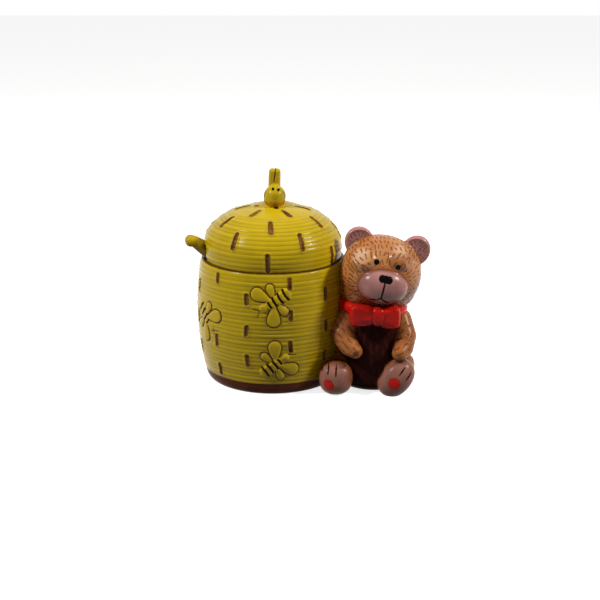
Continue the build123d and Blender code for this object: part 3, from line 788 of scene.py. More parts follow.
WING_ROOT = 1.0                   # radius of a wing at the body, in mm
WING_STEPS = 30
BEE_BARS = (                      # place along the bee and half length, in mm
    (3.5, 2.2),
    (0.3, 3.2),
    (-3.4, 3.6),
    (-7.0, 3.9),
)
LID_DASH_LENGTH, LID_DASH_WIDTH = 1.46, 1.08  # times the size of a jar's dash
LID_RINGS = (                     # share of the way up, azimuth of the first dash, count and size
    (0.0, -2.7, 6, 1.0),
    (0.215, 26.5, 6, 1.0),
    (0.42, -1.0, 6, 0.95),
    (0.665, 28.0, 6, 0.85),
    (0.84, 15.0, 4, 0.42),
)


def around(azimuth, other):
    """Degrees from other to azimuth, the short way."""
    return (azimuth - other + 180.0) % 360.0 - 180.0


def jar_dash_places():
    """Azimuth and height of every dash on the jar, where no bee is in the way."""
    places = []
    for azimuth, top in DASH_COLUMNS:
        heights = np.arange(top * MM, LOWEST_DASH, -DASH_ROW)
        gaps = bee_gaps(np.full(heights.shape, azimuth), heights)
        clear = np.minimum(gaps["wing"], gaps["body"]) > BEE_CLEARANCE
        places += [(azimuth, float(height)) for height in heights[clear]]
    return places


def lid_dash_places():
    """Azimuth, length along the dome's line and size of every dash on the lid."""
    places = []
    for rise, first, count, size in LID_RINGS:
        run = LID_SWELL + rise * (DOME_RUN[-1] - LID_SWELL)
        for i in range(count):
            azimuth = first + 360 / count * i
            if rise > 0 or abs(around(azimuth, NOTCH_AZIMUTH)) > NOTCH_CLEAR:
                places.append((azimuth, run, size))
    return places


def dash_gap(across, along, length, width, lean):
    """Distance to a round-ended dash's edge, less than 0 inside it."""
    across = across + along * lean
    past = np.maximum(np.abs(along) - (length - width) / 2, 0.0)
    return np.hypot(across, past) - width / 2


def bee_gaps(azimuth, height):
    """Distances to the bees' wings, outlines, bars, feelers, bodies and heads, for places on the jar."""
    gaps = {name: np.full(azimuth.shape, FAR) for name in ("wing", "bar", "feeler", "body", "head")}
    for bee_azimuth, bee_height, heading in BEE_PLACES:
        east = np.radians(around(azimuth, bee_azimuth)) * BELLY_RADIUS
        north = height - bee_height
        c, s = math.cos(math.radians(heading)), math.sin(math.radians(heading))
        u, v = east * c + north * s, np.abs(north * c - east * s)
        near = np.hypot(u, v) < BEE_REACH
        u, v = u[near], v[near]
        wing = np.full(u.shape, FAR)
        for tip_along, tip_across, tip_radius in BEE_WINGS:
            for t in np.linspace(0.0, 1.0, WING_STEPS):
                spread = 0.35 * t + 0.65 * eased(t, 0.0, 1.0)
                radius = (WING_ROOT + (tip_radius - WING_ROOT) * spread) * MM
                middle = (tip_along * (0.15 + 0.85 * t) * MM, (0.8 + (tip_across - 0.8) * t) * MM)
                wing = np.minimum(wing, np.hypot(u - middle[0], v - middle[1]) - radius)
        bar = np.full(u.shape, FAR)
        for place, half in BEE_BARS:
            bend = BAR_BEND * (v / MM) ** 2 * MM
            past = np.maximum(v - (half - BAR_ROUND) * MM, 0.0)
            bar = np.minimum(bar, np.hypot(u - place * MM + bend, past) - BAR_RADIUS)
        out_u, out_v = u - FEELER_ROOT[0], v - FEELER_ROOT[1]
        long_u, long_v = FEELER_TIP - FEELER_ROOT
        way = np.clip((out_u * long_u + out_v * long_v) / (long_u**2 + long_v**2), 0, 1)
        feeler = np.hypot(out_u - way * long_u, out_v - way * long_v) - FEELER_RADIUS
        past = np.maximum(np.abs(u - BEE_TAIL) - BEE_BODY_HALF, 0.0)
        body = np.hypot(past, v) - (BEE_BODY_RADIUS + BEE_BODY_FLARE * np.clip(-u, 0, 8 * MM))
        head = np.hypot(u - BEE_HEAD, v) - BEE_HEAD_RADIUS
        found = {"wing": wing, "bar": bar, "feeler": feeler, "body": body, "head": head}
        for name, values in found.items():
            gaps[name][near] = np.minimum(gaps[name][near], values)
    return gaps


def polar(points):
    """Radius, degrees from the front towards +X, and height of each point."""
    x, y, z = points.T
    return np.hypot(x, y), np.degrees(np.arctan2(x, -y)), z


def move_polar(obj, radius, azimuth, height):
    """Puts an object's points at new radii and heights."""
    turned = np.radians(azimuth)
    move_points(obj, np.stack([radius * np.sin(turned), -radius * np.cos(turned), height], axis=1))


def jar_dash_gap(azimuth, height, hive):
    """Distance to the nearest dash on the jar."""
    gap = np.full(azimuth.shape, FAR)
    for i, (dash_azimuth, dash_height) in enumerate(jar_dash_places()):
        across = np.radians(around(azimuth, dash_azimuth)) * side_radius(dash_height)
        lean = 0.09 * math.sin(2.4 * i + 0.6)
        size = hive.dash_length * (1.0 + 0.1 * math.sin(1.7 * i))
        gap = np.minimum(gap, dash_gap(across, height - dash_height, size, hive.dash_width, lean))
    return gap


def lid_dash_gap(azimuth, run, hive):
    """Distance to the nearest dash on the lid."""
    gap = np.full(azimuth.shape, FAR)
    for i, (dash_azimuth, dash_run, size) in enumerate(lid_dash_places()):
        radius, _ = on_dome(dash_run)
        across = np.radians(around(azimuth, dash_azimuth)) * radius
        lean = 0.10 * math.sin(1.9 * i + 0.4)
        length = hive.dash_length * LID_DASH_LENGTH * size
        width = hive.dash_width * LID_DASH_WIDTH
        gap = np.minimum(gap, dash_gap(across, run - dash_run, length, width, lean))
    return gap


def wander(azimuth, height, reach):
    """How far a hand-laid coil strays from its level."""
    a = np.radians(azimuth)
    z = height / MM
    slow = np.sin(2 * a + 0.21 * z) + 0.7 * np.sin(3 * a - 0.37 * z + 1.3)
    quick = 0.5 * np.sin(7 * a + 0.9 * z) + 0.35 * np.sin(11 * a - 1.3 * z + 0.5)
    return reach * (slow + quick) / 2.0


def coil_crest(phase):
    """0 in the groove between two coils and 1 on a coil's crest."""
    swing = 2 * (phase % 1.0) - 1
    return np.clip(1 - np.abs(swing) ** 2.6, 0, 1) ** 0.75


def dash_press(gap, hive):
    """How far clay moves out near a dash: a groove with a raised lip."""
    groove = -hive.dash_depth * eased(gap, 0.15 * MM, -0.75 * MM)
    lip = hive.lip_height * np.exp(-(((gap - 0.45 * MM) / (0.42 * MM)) ** 2))
    return groove + lip


# ------------------------------------------------------------------ jar and lid
def press_jar(jar, hive):
    """Lays the coils and presses the bees and dashes into the jar's outer skin."""
    radius, azimuth, height = polar(points_of(jar))
    outside = radius > side_radius(np.clip(height, FIRST_COIL, SHOULDER)) - hive.coil_bulge - 0.3 * MM
    coiled = outside & (height > FIRST_COIL - 0.01 * MM) & (height < SHOULDER + 0.01 * MM)
    share_up = (height - FIRST_COIL) / (SHOULDER - FIRST_COIL)
    hold = eased(share_up, 0.0, 0.05) * eased(share_up, 1.0, 0.95)
    stray = wander(azimuth, height, hive.coil_wander) * hold
    height = np.where(coiled, height + stray, height)
    coils = round((SHOULDER - FIRST_COIL) / JAR_PITCH)
    phase = share_up * coils
    crest = coil_crest(phase) * (0.72 + 0.28 * np.sin(phase.astype(int) * 2.7 + np.radians(azimuth)))
    gaps = bee_gaps(azimuth, height)
    dash = jar_dash_gap(azimuth, height, hive)
    pad = np.minimum(gaps["wing"], gaps["body"])
    raised = eased(pad, 0.5 * MM, -0.35 * MM)
    puff = hive.wing_relief * (1.0 + eased(gaps["wing"], 0.0, -3.0 * MM))
    level = crest * hive.coil_bulge * (1 - raised) + raised * (hive.coil_bulge + puff)
    level += hive.body_relief * eased(gaps["body"], 0.3 * MM, -1.4 * MM)
    outline = np.exp(-((gaps["wing"] / (0.45 * MM)) ** 2))
    level -= OUTLINE_DEPTH * outline * eased(gaps["body"], -0.6 * MM, 0.2 * MM)
    level -= BAR_DEPTH * eased(gaps["bar"], 0.3 * MM, -0.5 * MM)
    level -= FEELER_DEPTH * eased(gaps["feeler"], 0.4 * MM, -0.1 * MM)
    from_head = np.clip(gaps["head"] + BEE_HEAD_RADIUS, 0, None) / BEE_HEAD_RADIUS
    bump = np.sqrt(np.clip(1 - from_head**2, 0, 1))
    level = np.maximum(level, bump * HEAD_RELIEF)
    level += dash_press(dash, hive)
    level = np.minimum(level, side_limit(height, hive))
    radius = np.where(coiled, radius + level, radius)
    move_polar(jar, radius, azimuth, height)
    line = np.abs(gaps["wing"]) - hive.outline_width / 2
    line = np.where(gaps["body"] < -0.4 * MM, FAR, line)
    line = np.minimum(line, gaps["feeler"])
    for name, gap in (("dash", dash), ("line", line), ("bar", gaps["bar"])):
        paint_values(jar, name, np.where(coiled, gap, FAR) / MM)
    paint_values(jar, "groove", np.where(coiled, (1 - crest) * (1 - raised), 0.25))


def side_limit(height, hive):
    """The most that relief may stand out and stay within the jar's widest radius."""
    return BELLY_RADIUS - side_radius(height) + hive.coil_bulge + 0.35 * MM


def press_lid(lid, hive):
    """Lays the coils and presses the dashes into the lid's outer skin."""
    radius, azimuth, height = polar(points_of(lid))
    run = dome_run(radius, height)
    on_radius, on_height = on_dome(run)
    off_line = np.hypot(radius - on_radius, height - on_height)
    outside = (off_line < 0.25 * MM) & (height > SEAT - 0.01 * MM)
    low_radius, low_height = on_dome(run - 0.3 * MM)
    high_radius, high_height = on_dome(run + 0.3 * MM)
    up_radius, up_height = high_radius - low_radius, high_height - low_height
    size = np.maximum(np.hypot(up_radius, up_height), 1e-9)
    up_radius, up_height = up_radius / size, up_height / size
    hold = eased(run, 0.0, 3.0 * MM) * eased(run, CROWN_RUN, CROWN_RUN - 6.0 * MM)
    stray = wander(azimuth + 40.0, run, hive.coil_wander) * hold
    stray_run = run + stray
    phase = np.clip(run / CROWN_RUN, 0, 1) * LID_COILS
    coiled = outside & (run < CROWN_RUN)
    soft = 1.0 - 0.85 * eased(run, CROWN_RUN - 24 * MM, CROWN_RUN - 6 * MM)
    crest = coil_crest(phase) * (0.70 + 0.30 * np.sin(phase.astype(int) * 3.1 + np.radians(azimuth)))
    dash = lid_dash_gap(azimuth, stray_run, hive)
    level = np.where(coiled, crest * hive.coil_bulge * soft, 0.0) + dash_press(dash, hive)
    radius = np.where(outside, radius + stray * up_radius + level * up_height, radius)
    height = np.where(outside, height + stray * up_height - level * up_radius, height)
    move_polar(lid, radius, azimuth, height)
    paint_values(lid, "dash", np.where(outside, dash, FAR) / MM)
    paint_values(lid, "groove", np.where(coiled, (1 - crest) * soft, 0.2))


def notch_frame():
    """The notch's way out and its way across, in plan."""
    a = math.radians(NOTCH_AZIMUTH)
    return Vector((math.sin(a), -math.cos(a), 0.0)), Vector((math.cos(a), math.sin(a), 0.0))


def notch_cutter():
    """A round-cornered block through the lid's wall, open below."""
    way, _ = notch_frame()
    low, top = FLANGE_LOW.z - 8.0 * MM, SEAT + NOTCH_HEIGHT
    reach = 22.0 * MM
    middle = way * (SEAT_RADIUS - 3.0 * MM) + Vector((0, 0, (low + top) / 2))
    rest_hands()
    bpy.ops.mesh.primitive_cube_add(size=1.0)
    block = bpy.context.object
    block.scale = (NOTCH_WIDTH, reach, top - low)
    bpy.ops.object.transform_apply(scale=True)
    bpy.ops.object.mode_set(mode="EDIT")
    bpy.ops.mesh.select_mode(type="EDGE")
    bpy.ops.mesh.select_all(action="DESELECT")
    bpy.ops.object.mode_set(mode="OBJECT")
    for edge in block.data.edges:
        a, b = (block.data.vertices[i].co for i in edge.vertices)
        edge.select = abs(a.y - b.y) > reach / 2 and a.z > 0
    bpy.ops.object.mode_set(mode="EDIT")
    bpy.ops.mesh.bevel(offset=NOTCH_ROUND, segments=8)
    bpy.ops.mesh.select_mode(type="VERT")
    bpy.ops.object.mode_set(mode="OBJECT")
    return placed(block, middle, turns=(0.0, 0.0, math.radians(NOTCH_AZIMUTH)))


def toned(colour, strength):
    """A colour made lighter or darker."""
    return tuple(part * strength for part in colour)


def hive_colour(net, foot_band=None, seam=None, notch=False):
    """Yellow on the coils, olive in the grooves, umber in the dashes, at the foot and in the seam."""
    glazes = net.glazes
    _, _, z = net.split(net.place)
    drift = net.drift(30 * MM)
    patches = net.drift(11 * MM)
    pooled = net.times(net.math("POWER", net.kept("groove"), 2.2), net.ramp(drift, 0.4, 0.35))
    whole = net.plus(pooled, net.times(patches, 0.34 * glazes.wear), clamp=True)
    paint = net.mix(whole, glazes.honey, glazes.olive)
    dash = net.kept("dash")
    paint = net.cover(paint, glazes.olive, net.eased(dash, 0.9, 0.1), 0.45)
    inside = net.edge(net.minus(dash, 0.12), 0.9, 0.4)
    dashed = net.mix(patches, glazes.umber, toned(glazes.umber, 1.9))
    paint = net.cover(paint, dashed, inside, net.ramp(patches, -0.28, 1.0))
    if foot_band:
        paint = net.cover(paint, toned(glazes.umber, 0.75), net.kept_edge("line", 0.35, 0.3), 0.9)
        paint = net.cover(paint, glazes.soot, net.kept_edge("bar", 0.5, 0.3))
        band = net.edge(net.times(net.minus(z, foot_band), TO_MM), 0.9, 0.5)
        paint = net.cover(paint, net.mix(drift, glazes.umber, toned(glazes.umber, 1.6)), band)
    if seam:
        height, way = seam
        band = net.edge(net.times(net.minus(z, height), way * TO_MM), 0.5, 0.7)
        paint = net.cover(paint, toned(glazes.umber, 0.6), band, 0.92)
    if notch:
        paint = net.cover(paint, glazes.umber, net.kept_edge("notch", 0.7, 0.9), 0.85)
    return paint, 0.0


def near_notch(obj):
    """Distance from the notch's edge, for the paint in it."""
    points = points_of(obj)
    way, across = notch_frame()
    out = points @ np.array(way)
    side = np.abs(points @ np.array(across))
    up = points[:, 2] - (SEAT + NOTCH_HEIGHT)
    reach = np.maximum(side - NOTCH_WIDTH / 2, up)
    gap = np.where(out > NOTCH_SIDE, reach, FAR) / MM
    paint_values(obj, "notch", gap - 0.5)


class HONEYPOT_OT_jar(bpy.types.Operator):
    """Spins the hive jar and presses its coils, dashes and bees"""

    bl_idname = "honeypot.jar"
    bl_label = "Hive Jar"

    def execute(self, context):
        hive, glazes = context.scene.honey_hive, context.scene.honey_glazes
        jar = turned_skin("hive_jar_skin", jar_profile(hive.coil_bulge), SKIN_STEPS)

        def decorated(places):
            radius, azimuth, height = polar(places)
            outside = radius > side_radius(height) - 1.5 * MM
            gaps = bee_gaps(azimuth, height)
            near = jar_dash_gap(azimuth, height, hive) < FINE_REACH
            for name in ("wing", "body", "head", "feeler"):
                near |= np.abs(gaps[name]) < FINE_REACH
            near |= gaps["bar"] < 0.8 * MM
            return outside & near & (height > FIRST_COIL) & (height < SHOULDER)

        refine_where(jar, decorated)
        press_jar(jar, hive)
        cut_away(jar, spoon_rest())
        smooth_all(jar, CORNER)
        material = glazed(
            "hive_glaze", glazes, hive_colour, foot_band=hive.foot_band, seam=(RIM - 0.5 * MM, -1.0)
        )
        settle(jar, "pot", material, "hive_glaze", "hive_jar", *BEE_NODES)
        return {"FINISHED"}


class HONEYPOT_OT_lid(bpy.types.Operator):
    """Spins the domed lid, presses its coils and dashes and cuts the spoon's notch"""

    bl_idname = "honeypot.lid"
    bl_label = "Lid"

    def execute(self, context):
        hive, glazes = context.scene.honey_hive, context.scene.honey_glazes
        lid = turned_skin("lid_skin", lid_profile(), SKIN_STEPS)

        def decorated(places):
            radius, azimuth, height = polar(places)
            run = dome_run(radius, height)
            on_radius, on_height = on_dome(run)
            on_line = np.hypot(radius - on_radius, height - on_height) < 0.5 * MM
            return on_line & (lid_dash_gap(azimuth, run, hive) < FINE_REACH) & (height > SEAT)

        refine_where(lid, decorated)
        press_lid(lid, hive)
        cut_away(lid, notch_cutter())
        near_notch(lid)
        smooth_all(lid, CORNER)
        material = glazed("lid_glaze", glazes, hive_colour, seam=(SEAT + 0.75 * MM, 1.0), notch=True)
        settle(lid, "lid", material, "hive_glaze", "lid_dome", "lid_skirt")
        return {"FINISHED"}


# ------------------------------------------------------------------ spoon
STEM_WIDTH = 8.0 * MM
STEM_THICKNESS = 5.2 * MM
STEM_GAP = 0.35 * MM


def spoon_line():
    """Where the spoon leaves the lid and its way down, from the joint it slides on."""
    joint = next(j for j in frame["joints"] if j["name"] == "spoon_draw")
    down = -Vector(joint["axis"]).normalized()
    way, _ = notch_frame()
    leave = way * (SEAT_RADIUS - 0.4 * MM) + Vector((0, 0, SEAT + 4.2 * MM))
    return leave, down


def spoon_rest():
    """The stem's shape with a little room round it, where it crosses the jar's rim."""
    leave, down = spoon_line()
    _, across = notch_frame()
    half = STEM_THICKNESS / 2 + STEM_GAP
    side = across * (STEM_WIDTH / 2 + STEM_GAP - half)
    ends = [leave - down * 9 * MM, leave + down * 12 * MM]
    return wrapped([add_ball(end + shift, (half,) * 3) for end in ends for shift in (side, -side)])


BEE_NODES = [name for name in frame["nodes"] if name.startswith("bee_")]


# ------------------------------------------------------------------ stage
LAMPS = (                         # name, place, width, power and colour
    ("left_lamp", (-0.57, -0.22, 0.62), 0.07, 4.9, (1.0, 0.98, 0.93)),
    ("right_lamp", (0.66, -0.16, 0.56), 0.12, 4.9, (1.0, 0.97, 0.92)),
    ("top_lamp", (0.0, 0.0, 0.85), 0.4, 0.7, (1.0, 0.99, 0.97)),
)
LAMP_AIM = Vector((0.02, 0.0, 0.06))
FLOOR_SEEN, FLOOR_UNSEEN = (0.95, 0.95, 0.95), (0.14, 0.13, 0.12)
FLOOR_GLOW = 0.80
WHITE, STUDIO_GREY = (1.0, 1.0, 1.0), (0.12, 0.12, 0.12)


def soft_box(name, place, width, power, colour):
    """A square lamp that faces the pot."""
    rest_hands()
    bpy.ops.object.light_add(type="AREA", location=place)
    lamp = bpy.context.object
    lamp.name = name
    lamp.data.shape = "SQUARE"
    lamp.data.size = width
    lamp.data.energy = power
    lamp.data.color = colour
    lamp.rotation_euler = (LAMP_AIM - Vector(place)).to_track_quat("-Z", "Y").to_euler()


def shown(net, paths):
    """1 where the background itself is seen, straight or in a reflection, and 0 where it lights."""
    return net.largest(*(paths.outputs[f"Is {kind} Ray"] for kind in ("Glossy", "Transmission", "Camera")))


def pale_floor():
    """White to the camera, dim to the object, with the object's soft shadow."""
    material = bpy.data.materials.new("pale_floor")
    material.use_nodes = True
    net = Net(material.node_tree)
    material.node_tree.nodes.remove(material.node_tree.nodes["Principled BSDF"])
    out = material.node_tree.nodes["Material Output"]
    paths = net.add("ShaderNodeLightPath")
    seen = shown(net, paths)
    matte = net.add("ShaderNodeBsdfDiffuse")
    net.feed(matte.inputs["Color"], net.mix(seen, FLOOR_UNSEEN, FLOOR_SEEN))
    glow = net.add("ShaderNodeEmission")
    net.feed(glow.inputs["Color"], WHITE)
    net.feed(glow.inputs["Strength"], net.times(seen, FLOOR_GLOW))
    both = net.add("ShaderNodeAddShader")
    net.tree.links.new(matte.outputs[0], both.inputs[0])
    net.tree.links.new(glow.outputs[0], both.inputs[1])
    net.tree.links.new(both.outputs[0], out.inputs["Surface"])
    return material


def studio_world():
    """White where it is seen, and a dim grey studio as light."""
    world = bpy.data.worlds.new("studio")
    bpy.context.scene.world = world
    world.use_nodes = True
    net = Net(world.node_tree)
    back = world.node_tree.nodes["Background"]
    paths = net.add("ShaderNodeLightPath")
    net.feed(back.inputs["Color"], net.mix(shown(net, paths), STUDIO_GREY, WHITE))
    back.inputs["Strength"].default_value = 1.0


class HONEYPOT_OT_stage(bpy.types.Operator):
    """Sets the camera, the pale floor and the soft lamps"""

    bl_idname = "honeypot.stage"
    bl_label = "Stage"

    def execute(self, context):
        stage = context.scene.honey_stage
        rest_hands()
        bpy.ops.object.camera_add(location=stage.camera_place)
        camera = context.object
        camera.name = "camera"
        camera.rotation_euler = (math.pi / 2 - stage.pitch, 0.0, 0.0)
        camera.data.lens = stage.lens
        camera.data.sensor_width = 36.0
        camera.data.clip_start = 0.01
        context.scene.camera = camera
        rest_hands()
        bpy.ops.mesh.primitive_plane_add(size=stage.floor_size)
        floor = context.object
        floor.name = "floor"
        floor.data.materials.append(pale_floor())
        for lamp in LAMPS:
            soft_box(*lamp)
        studio_world()
        context.scene.view_settings.view_transform = "Standard"
        return {"FINISHED"}


# ------------------------------------------------------------------ bear
def at(x, y, z):
    """A place in the frame, from millimetres."""
    return Vector((x, y, z)) * MM


HEAD_MIDDLE = at(63.2, -20.0, 68.6)
HEAD_RADII = at(23.7, 20.5, 22.2)
HEAD_SQUARENESS = 2.12
CHEEKS = (                        # middles and radii of the fuller cheeks
    (at(54.2, -20.5, 60.4), 14.8 * MM),
    (at(70.3, -20.5, 60.8), 14.2 * MM),
)
BROWS = (at(53.6, -30.4, 78.4), at(72.6, -30.4, 78.9))
BROW_RADII = at(9.4, 9.4, 8.4)
# middles of the painted highlights, pale spots on the brows
BROW_HIGHLIGHTS = (at(51.0, -34.0, 82.2), at(72.8, -34.0, 83.6))
MUZZLE_MIDDLE, MUZZLE_RADII = at(63.5, -36.2, 65.3), at(14.3, 9.2, 10.8)
NOSE = (at(62.8, 0, 71.4), at(64.7, 0, 71.0), at(66.5, 0, 70.6))
NOSE_RADIUS = 2.1 * MM
NOSE_OUT = at(0, -42.2, -0.3)
EYES = (at(59.6, 0, 79.8), at(71.7, 0, 77.1))
MOUTH = (                         # strokes of the mouth, seen from the front
    (at(64.3, 0, 70.0), at(62.1, 0, 60.3)),
    (at(62.2, 0, 60.4), at(60.2, 0, 58.9)),
    (at(60.6, 0, 59.0), at(55.8, 0, 58.9)),
    (at(62.1, 0, 60.4), at(63.2, 0, 58.6)),
    (at(63.1, 0, 58.9), at(66.2, 0, 56.9)),
)
RIGHT_EAR, RIGHT_EAR_RADII = at(50.6, -18.0, 86.6), at(8.6, 4.8, 9.2)
LEFT_EAR, LEFT_EAR_RADII = at(83.4, -18.0, 81.2), at(8.5, 4.8, 9.4)
EAR_DISH, EAR_DISH_RADIUS = 2.3 * MM, 7.8 * MM
TORSO_RINGS = (                   # radius and height up the torso, in mm
    (20.4, 0.0), (21.8, 6.0), (21.6, 15.0), (21.0, 24.0), (19.8, 34.0), (17.6, 43.0), (15.0, 50.0),
)
TORSO_DEPTH = 0.90                # front to back over side to side
ARMS = {                          # shoulder, elbow, wrist and paw, each with its radius in mm
    "right_arm": (
        (at(45.8, -25.0, 44.0), 6.8), (at(41.0, -30.5, 34.2), 7.1),
        (at(44.8, -37.0, 29.0), 5.7), (at(48.0, -41.0, 27.3), 4.3),
    ),
    "left_arm": (
        (at(75.0, -24.0, 41.4), 6.6), (at(77.4, -29.5, 33.0), 6.8),
        (at(76.4, -35.5, 27.6), 5.7), (at(73.8, -40.0, 25.6), 4.6),
    ),
}
LEGS = {                          # haunch and ankle, each with its radius in mm
    "right_leg": ((at(42.6, -20.0, 18.6), 7.6), (at(38.8, -29.0, 11.5), 7.6)),
    "left_leg": ((at(76.2, -24.0, 13.2), 8.0), (at(75.5, -31.0, 11.5), 7.4)),
}
FEET = {                          # middle, radii, squareness and lean of each foot
    "right_foot": (at(37.0, -36.8, 9.7), at(9.9, 9.0, 9.9), 2.3, 0.0),
    "left_foot": (at(72.2, -38.0, 9.9), at(9.2, 8.4, 12.5), 2.15, math.radians(38.0)),
}
SOLE_SPOTS = (                    # middles and radii of the scarlet rounds on the soles
    (at(32.5, 0, 8.7), 2.4 * MM),
    (at(33.1, 0, 7.3), 2.4 * MM),
    (at(70.5, 0, 9.2), 3.2 * MM),
)
TOES = (                          # dark strokes between the toes, seen from the front
    (at(29.4, 0, 18.4), at(29.0, 0, 15.4)),
    (at(32.9, 0, 18.8), at(32.2, 0, 14.4)),
    (at(37.2, 0, 18.8), at(36.8, 0, 13.2)),
    (at(76.6, 0, 18.2), at(73.5, 0, 14.4)),
    (at(80.4, 0, 15.2), at(77.2, 0, 10.9)),
)
PAW_SPOT, PAW_SPOT_RADIUS = at(48.3, 0, 27.2), 1.7 * MM
BROW_HIGHLIGHT_PAINT = (0.78, 0.56, 0.38)    # painted highlight on the brows, used in one place only
MUZZLE_RIM = (0.42, 0.10, 0.015)
FACE_BLACK = (0.004, 0.002, 0.002)
BELLY_STREAK = (0.075, 0.016, 0.009)
TOE_PAINT = (0.02, 0.007, 0.006)


def tree_of(piece):
    """A shape's surface, to measure to after the shape has been fused with others."""
    points = [v.co.copy() for v in piece.data.vertices]
    return BVHTree.FromPolygons(points, [tuple(p.vertices) for p in piece.data.polygons])


def distances(obj, tree):
    """How far each of an object's points is from a surface, in mm."""
    return np.array([tree.find_nearest(v.co)[3] for v in obj.data.vertices]) / MM


def turned_body(name, rings, middle, depth):
    """A closed turned form with a rounded top, squashed front to back."""
    profile = [(0.0, 0.0)] + [(r * MM, z * MM) for r, z in rings]
    top_radius, top = profile[-1]
    profile += [(top_radius * math.cos(t), top + top_radius * 0.3 * math.sin(t)) for t in (0.5, 1.0)]
    profile.append((0.0, top + top_radius * 0.3))
    form = turned_skin(name, profile, 64)
    finish_modifier(form, "SUBSURF", levels=1, render_levels=1)
    return placed(form, (middle.x, middle.y, 0.0), (1.0, depth, 1.0))


def limb_chain(joints):
    """A limb through several joints, each with a radius."""
    lengths = [
        add_limb(a, b, ra * MM, rb * MM) for (a, ra), (b, rb) in zip(joints, joints[1:])
    ]
    return joined(lengths)


def stand_on_floor(obj):
    """Flattens what would be under the floor."""
    points = points_of(obj)
    points[:, 2] = np.maximum(points[:, 2], 0.0)
    move_points(obj, points)


def painter(net):
    """Lines and spots of paint seen from the front, at any depth."""
    flat = net.vector("MULTIPLY", net.place, (1.0, 0.0, 1.0))

    def line(start, end, width, wobble=0.25):
        return net.effect(
            net.effects["line"], Place=flat, Start=start, End=end, Width=width, Wobble=wobble
        )

    def spot(middle, radius, wobble=0.3):
        return net.effect(net.effects["spot"], Place=flat, Middle=middle, Radius=radius, Wobble=wobble)

    return line, spot


def coat_colour(net, fur, drift, russet_wash_and_shade):
    """Tan, rubbed fawn in patches, with russet strokes."""
    glazes = net.glazes
    coat = net.cover(glazes.tan, glazes.fawn, drift, 0.75)
    # washed towards russet by the given share and in patches; on the head this is also painted shade low down
    coat = net.mix(net.ramp(net.drift(9 * MM), 0.5 * glazes.wear, russet_wash_and_shade), coat, glazes.russet)
    return net.cover(coat, glazes.russet, fur, 0.85)


def fur_strokes(net, middle, tip, bear, spacing, round_radius):
    """Fur strokes that spread over the coat from a point in front."""
    spread = net.add("ShaderNodeVectorRotate", rotation_type="X_AXIS")
    net.feed(spread.inputs["Vector"], net.vector("SUBTRACT", net.place, middle))
    spread.inputs["Angle"].default_value = tip
    return net.effect(
        net.effects["fur"], Place=spread.outputs[0], Round=round_radius, Ring=bear.stroke_length * 1.5,
        Spacing=spacing, Length=bear.stroke_length, Width=bear.stroke_width,
    )


def shaded_crease(net, paint, reach=2.2, depth=0.85):
    """Painted shade: darker glaze where two forms meet."""
    near = net.eased(net.kept("crease"), reach, 0.15)
    return net.cover(paint, net.glazes.soot, near, depth)


def ear_colour(net, middle, dish):
    """The mauve of an ear's dish, with painted shade in its hollow and dark hair."""
    hair = net.effect(
        net.effects["fur"], Place=net.vector("SUBTRACT", net.place, middle + at(0, 24, -1.5)),
        Round=20 * MM, Ring=3.4 * MM, Spacing=1.5 * MM, Length=3.0 * MM, Width=0.55 * MM,
    )
    # painted shade: plum towards the middle of the ear's dish
    mauve = net.cover(net.glazes.mauve, net.glazes.plum, dish, 0.35)
    return net.cover(mauve, net.glazes.soot, hair, dish, 0.7)


def head_colour(net, bear):
    """Coat with fur strokes, mauve muzzle and ears, black eyes, nose and mouth, painted brow highlights and
    shade.
    """
    glazes = net.glazes
    _, y, z = net.split(net.place)
    drift = net.drift(14 * MM)
    back = HEAD_MIDDLE - MUZZLE_MIDDLE
    fur = fur_strokes(net, HEAD_MIDDLE, -math.atan2(back.z, back.y), bear, 2.6 * MM, HEAD_RADII.x)
    # painted shade: the coat turns russet towards the lower head
    under = net.times(net.eased(z, HEAD_MIDDLE.z + 2 * MM, HEAD_MIDDLE.z - 9 * MM), 0.62)
    paint = coat_colour(net, fur, drift, under)
    # painted highlights: pale fawn spots on the brows, thinner where fur strokes lie
    for middle in BROW_HIGHLIGHTS:
        rubbed = net.eased(net.away(middle), 6.5 * MM, 1.5 * MM)
        paint = net.cover(paint, BROW_HIGHLIGHT_PAINT, rubbed, net.ramp(fur, -0.5, 0.6))
    rim = net.eased(net.kept("muzzle"), 2.6, 0.0)
    upper = net.eased(z, MUZZLE_MIDDLE.z - 4 * MM, MUZZLE_MIDDLE.z + 3 * MM)
    paint = net.cover(paint, MUZZLE_RIM, rim, upper, 0.8)
    mauve = net.cover(glazes.mauve, glazes.plum, drift, 0.55)
    # painted shade: plum deepens the lower muzzle
    low = net.eased(z, MUZZLE_MIDDLE.z + 2 * MM, MUZZLE_MIDDLE.z - 9 * MM)
    mauve = net.cover(mauve, glazes.plum, low, 0.45)
    paint = net.cover(paint, mauve, net.kept_edge("muzzle", 0.5, 0.5))
    ear = net.kept_edge("ear", 0.8, 1.2)
    dish = net.kept("dish")
    for middle in (RIGHT_EAR, LEFT_EAR):
        this_ear = net.math("LESS_THAN", net.away(middle), 16 * MM)
        paint = net.cover(paint, ear_colour(net, middle, dish), ear, this_ear)
    paint = shaded_crease(net, paint, reach=1.4, depth=0.5)
    line, spot = painter(net)
    front = net.eased(y, HEAD_MIDDLE.y - 6 * MM, HEAD_MIDDLE.y - 9 * MM)
    strokes = [spot(middle, NOSE_RADIUS, 0.12) for middle in NOSE]
    strokes += [line(start, end, 1.15 * MM) for start, end in MOUTH]
    strokes += [spot(middle, bear.eye_radius, 0.5) for middle in EYES]
    off_muzzle = net.eased(net.kept("muzzle"), 0.5, 1.2)
    off_ears = net.eased(net.kept("ear"), 0.5, 1.5)
    carved = net.times(fur, off_muzzle, off_ears, 0.3)
    return net.cover(paint, FACE_BLACK, net.largest(*strokes), front), carved


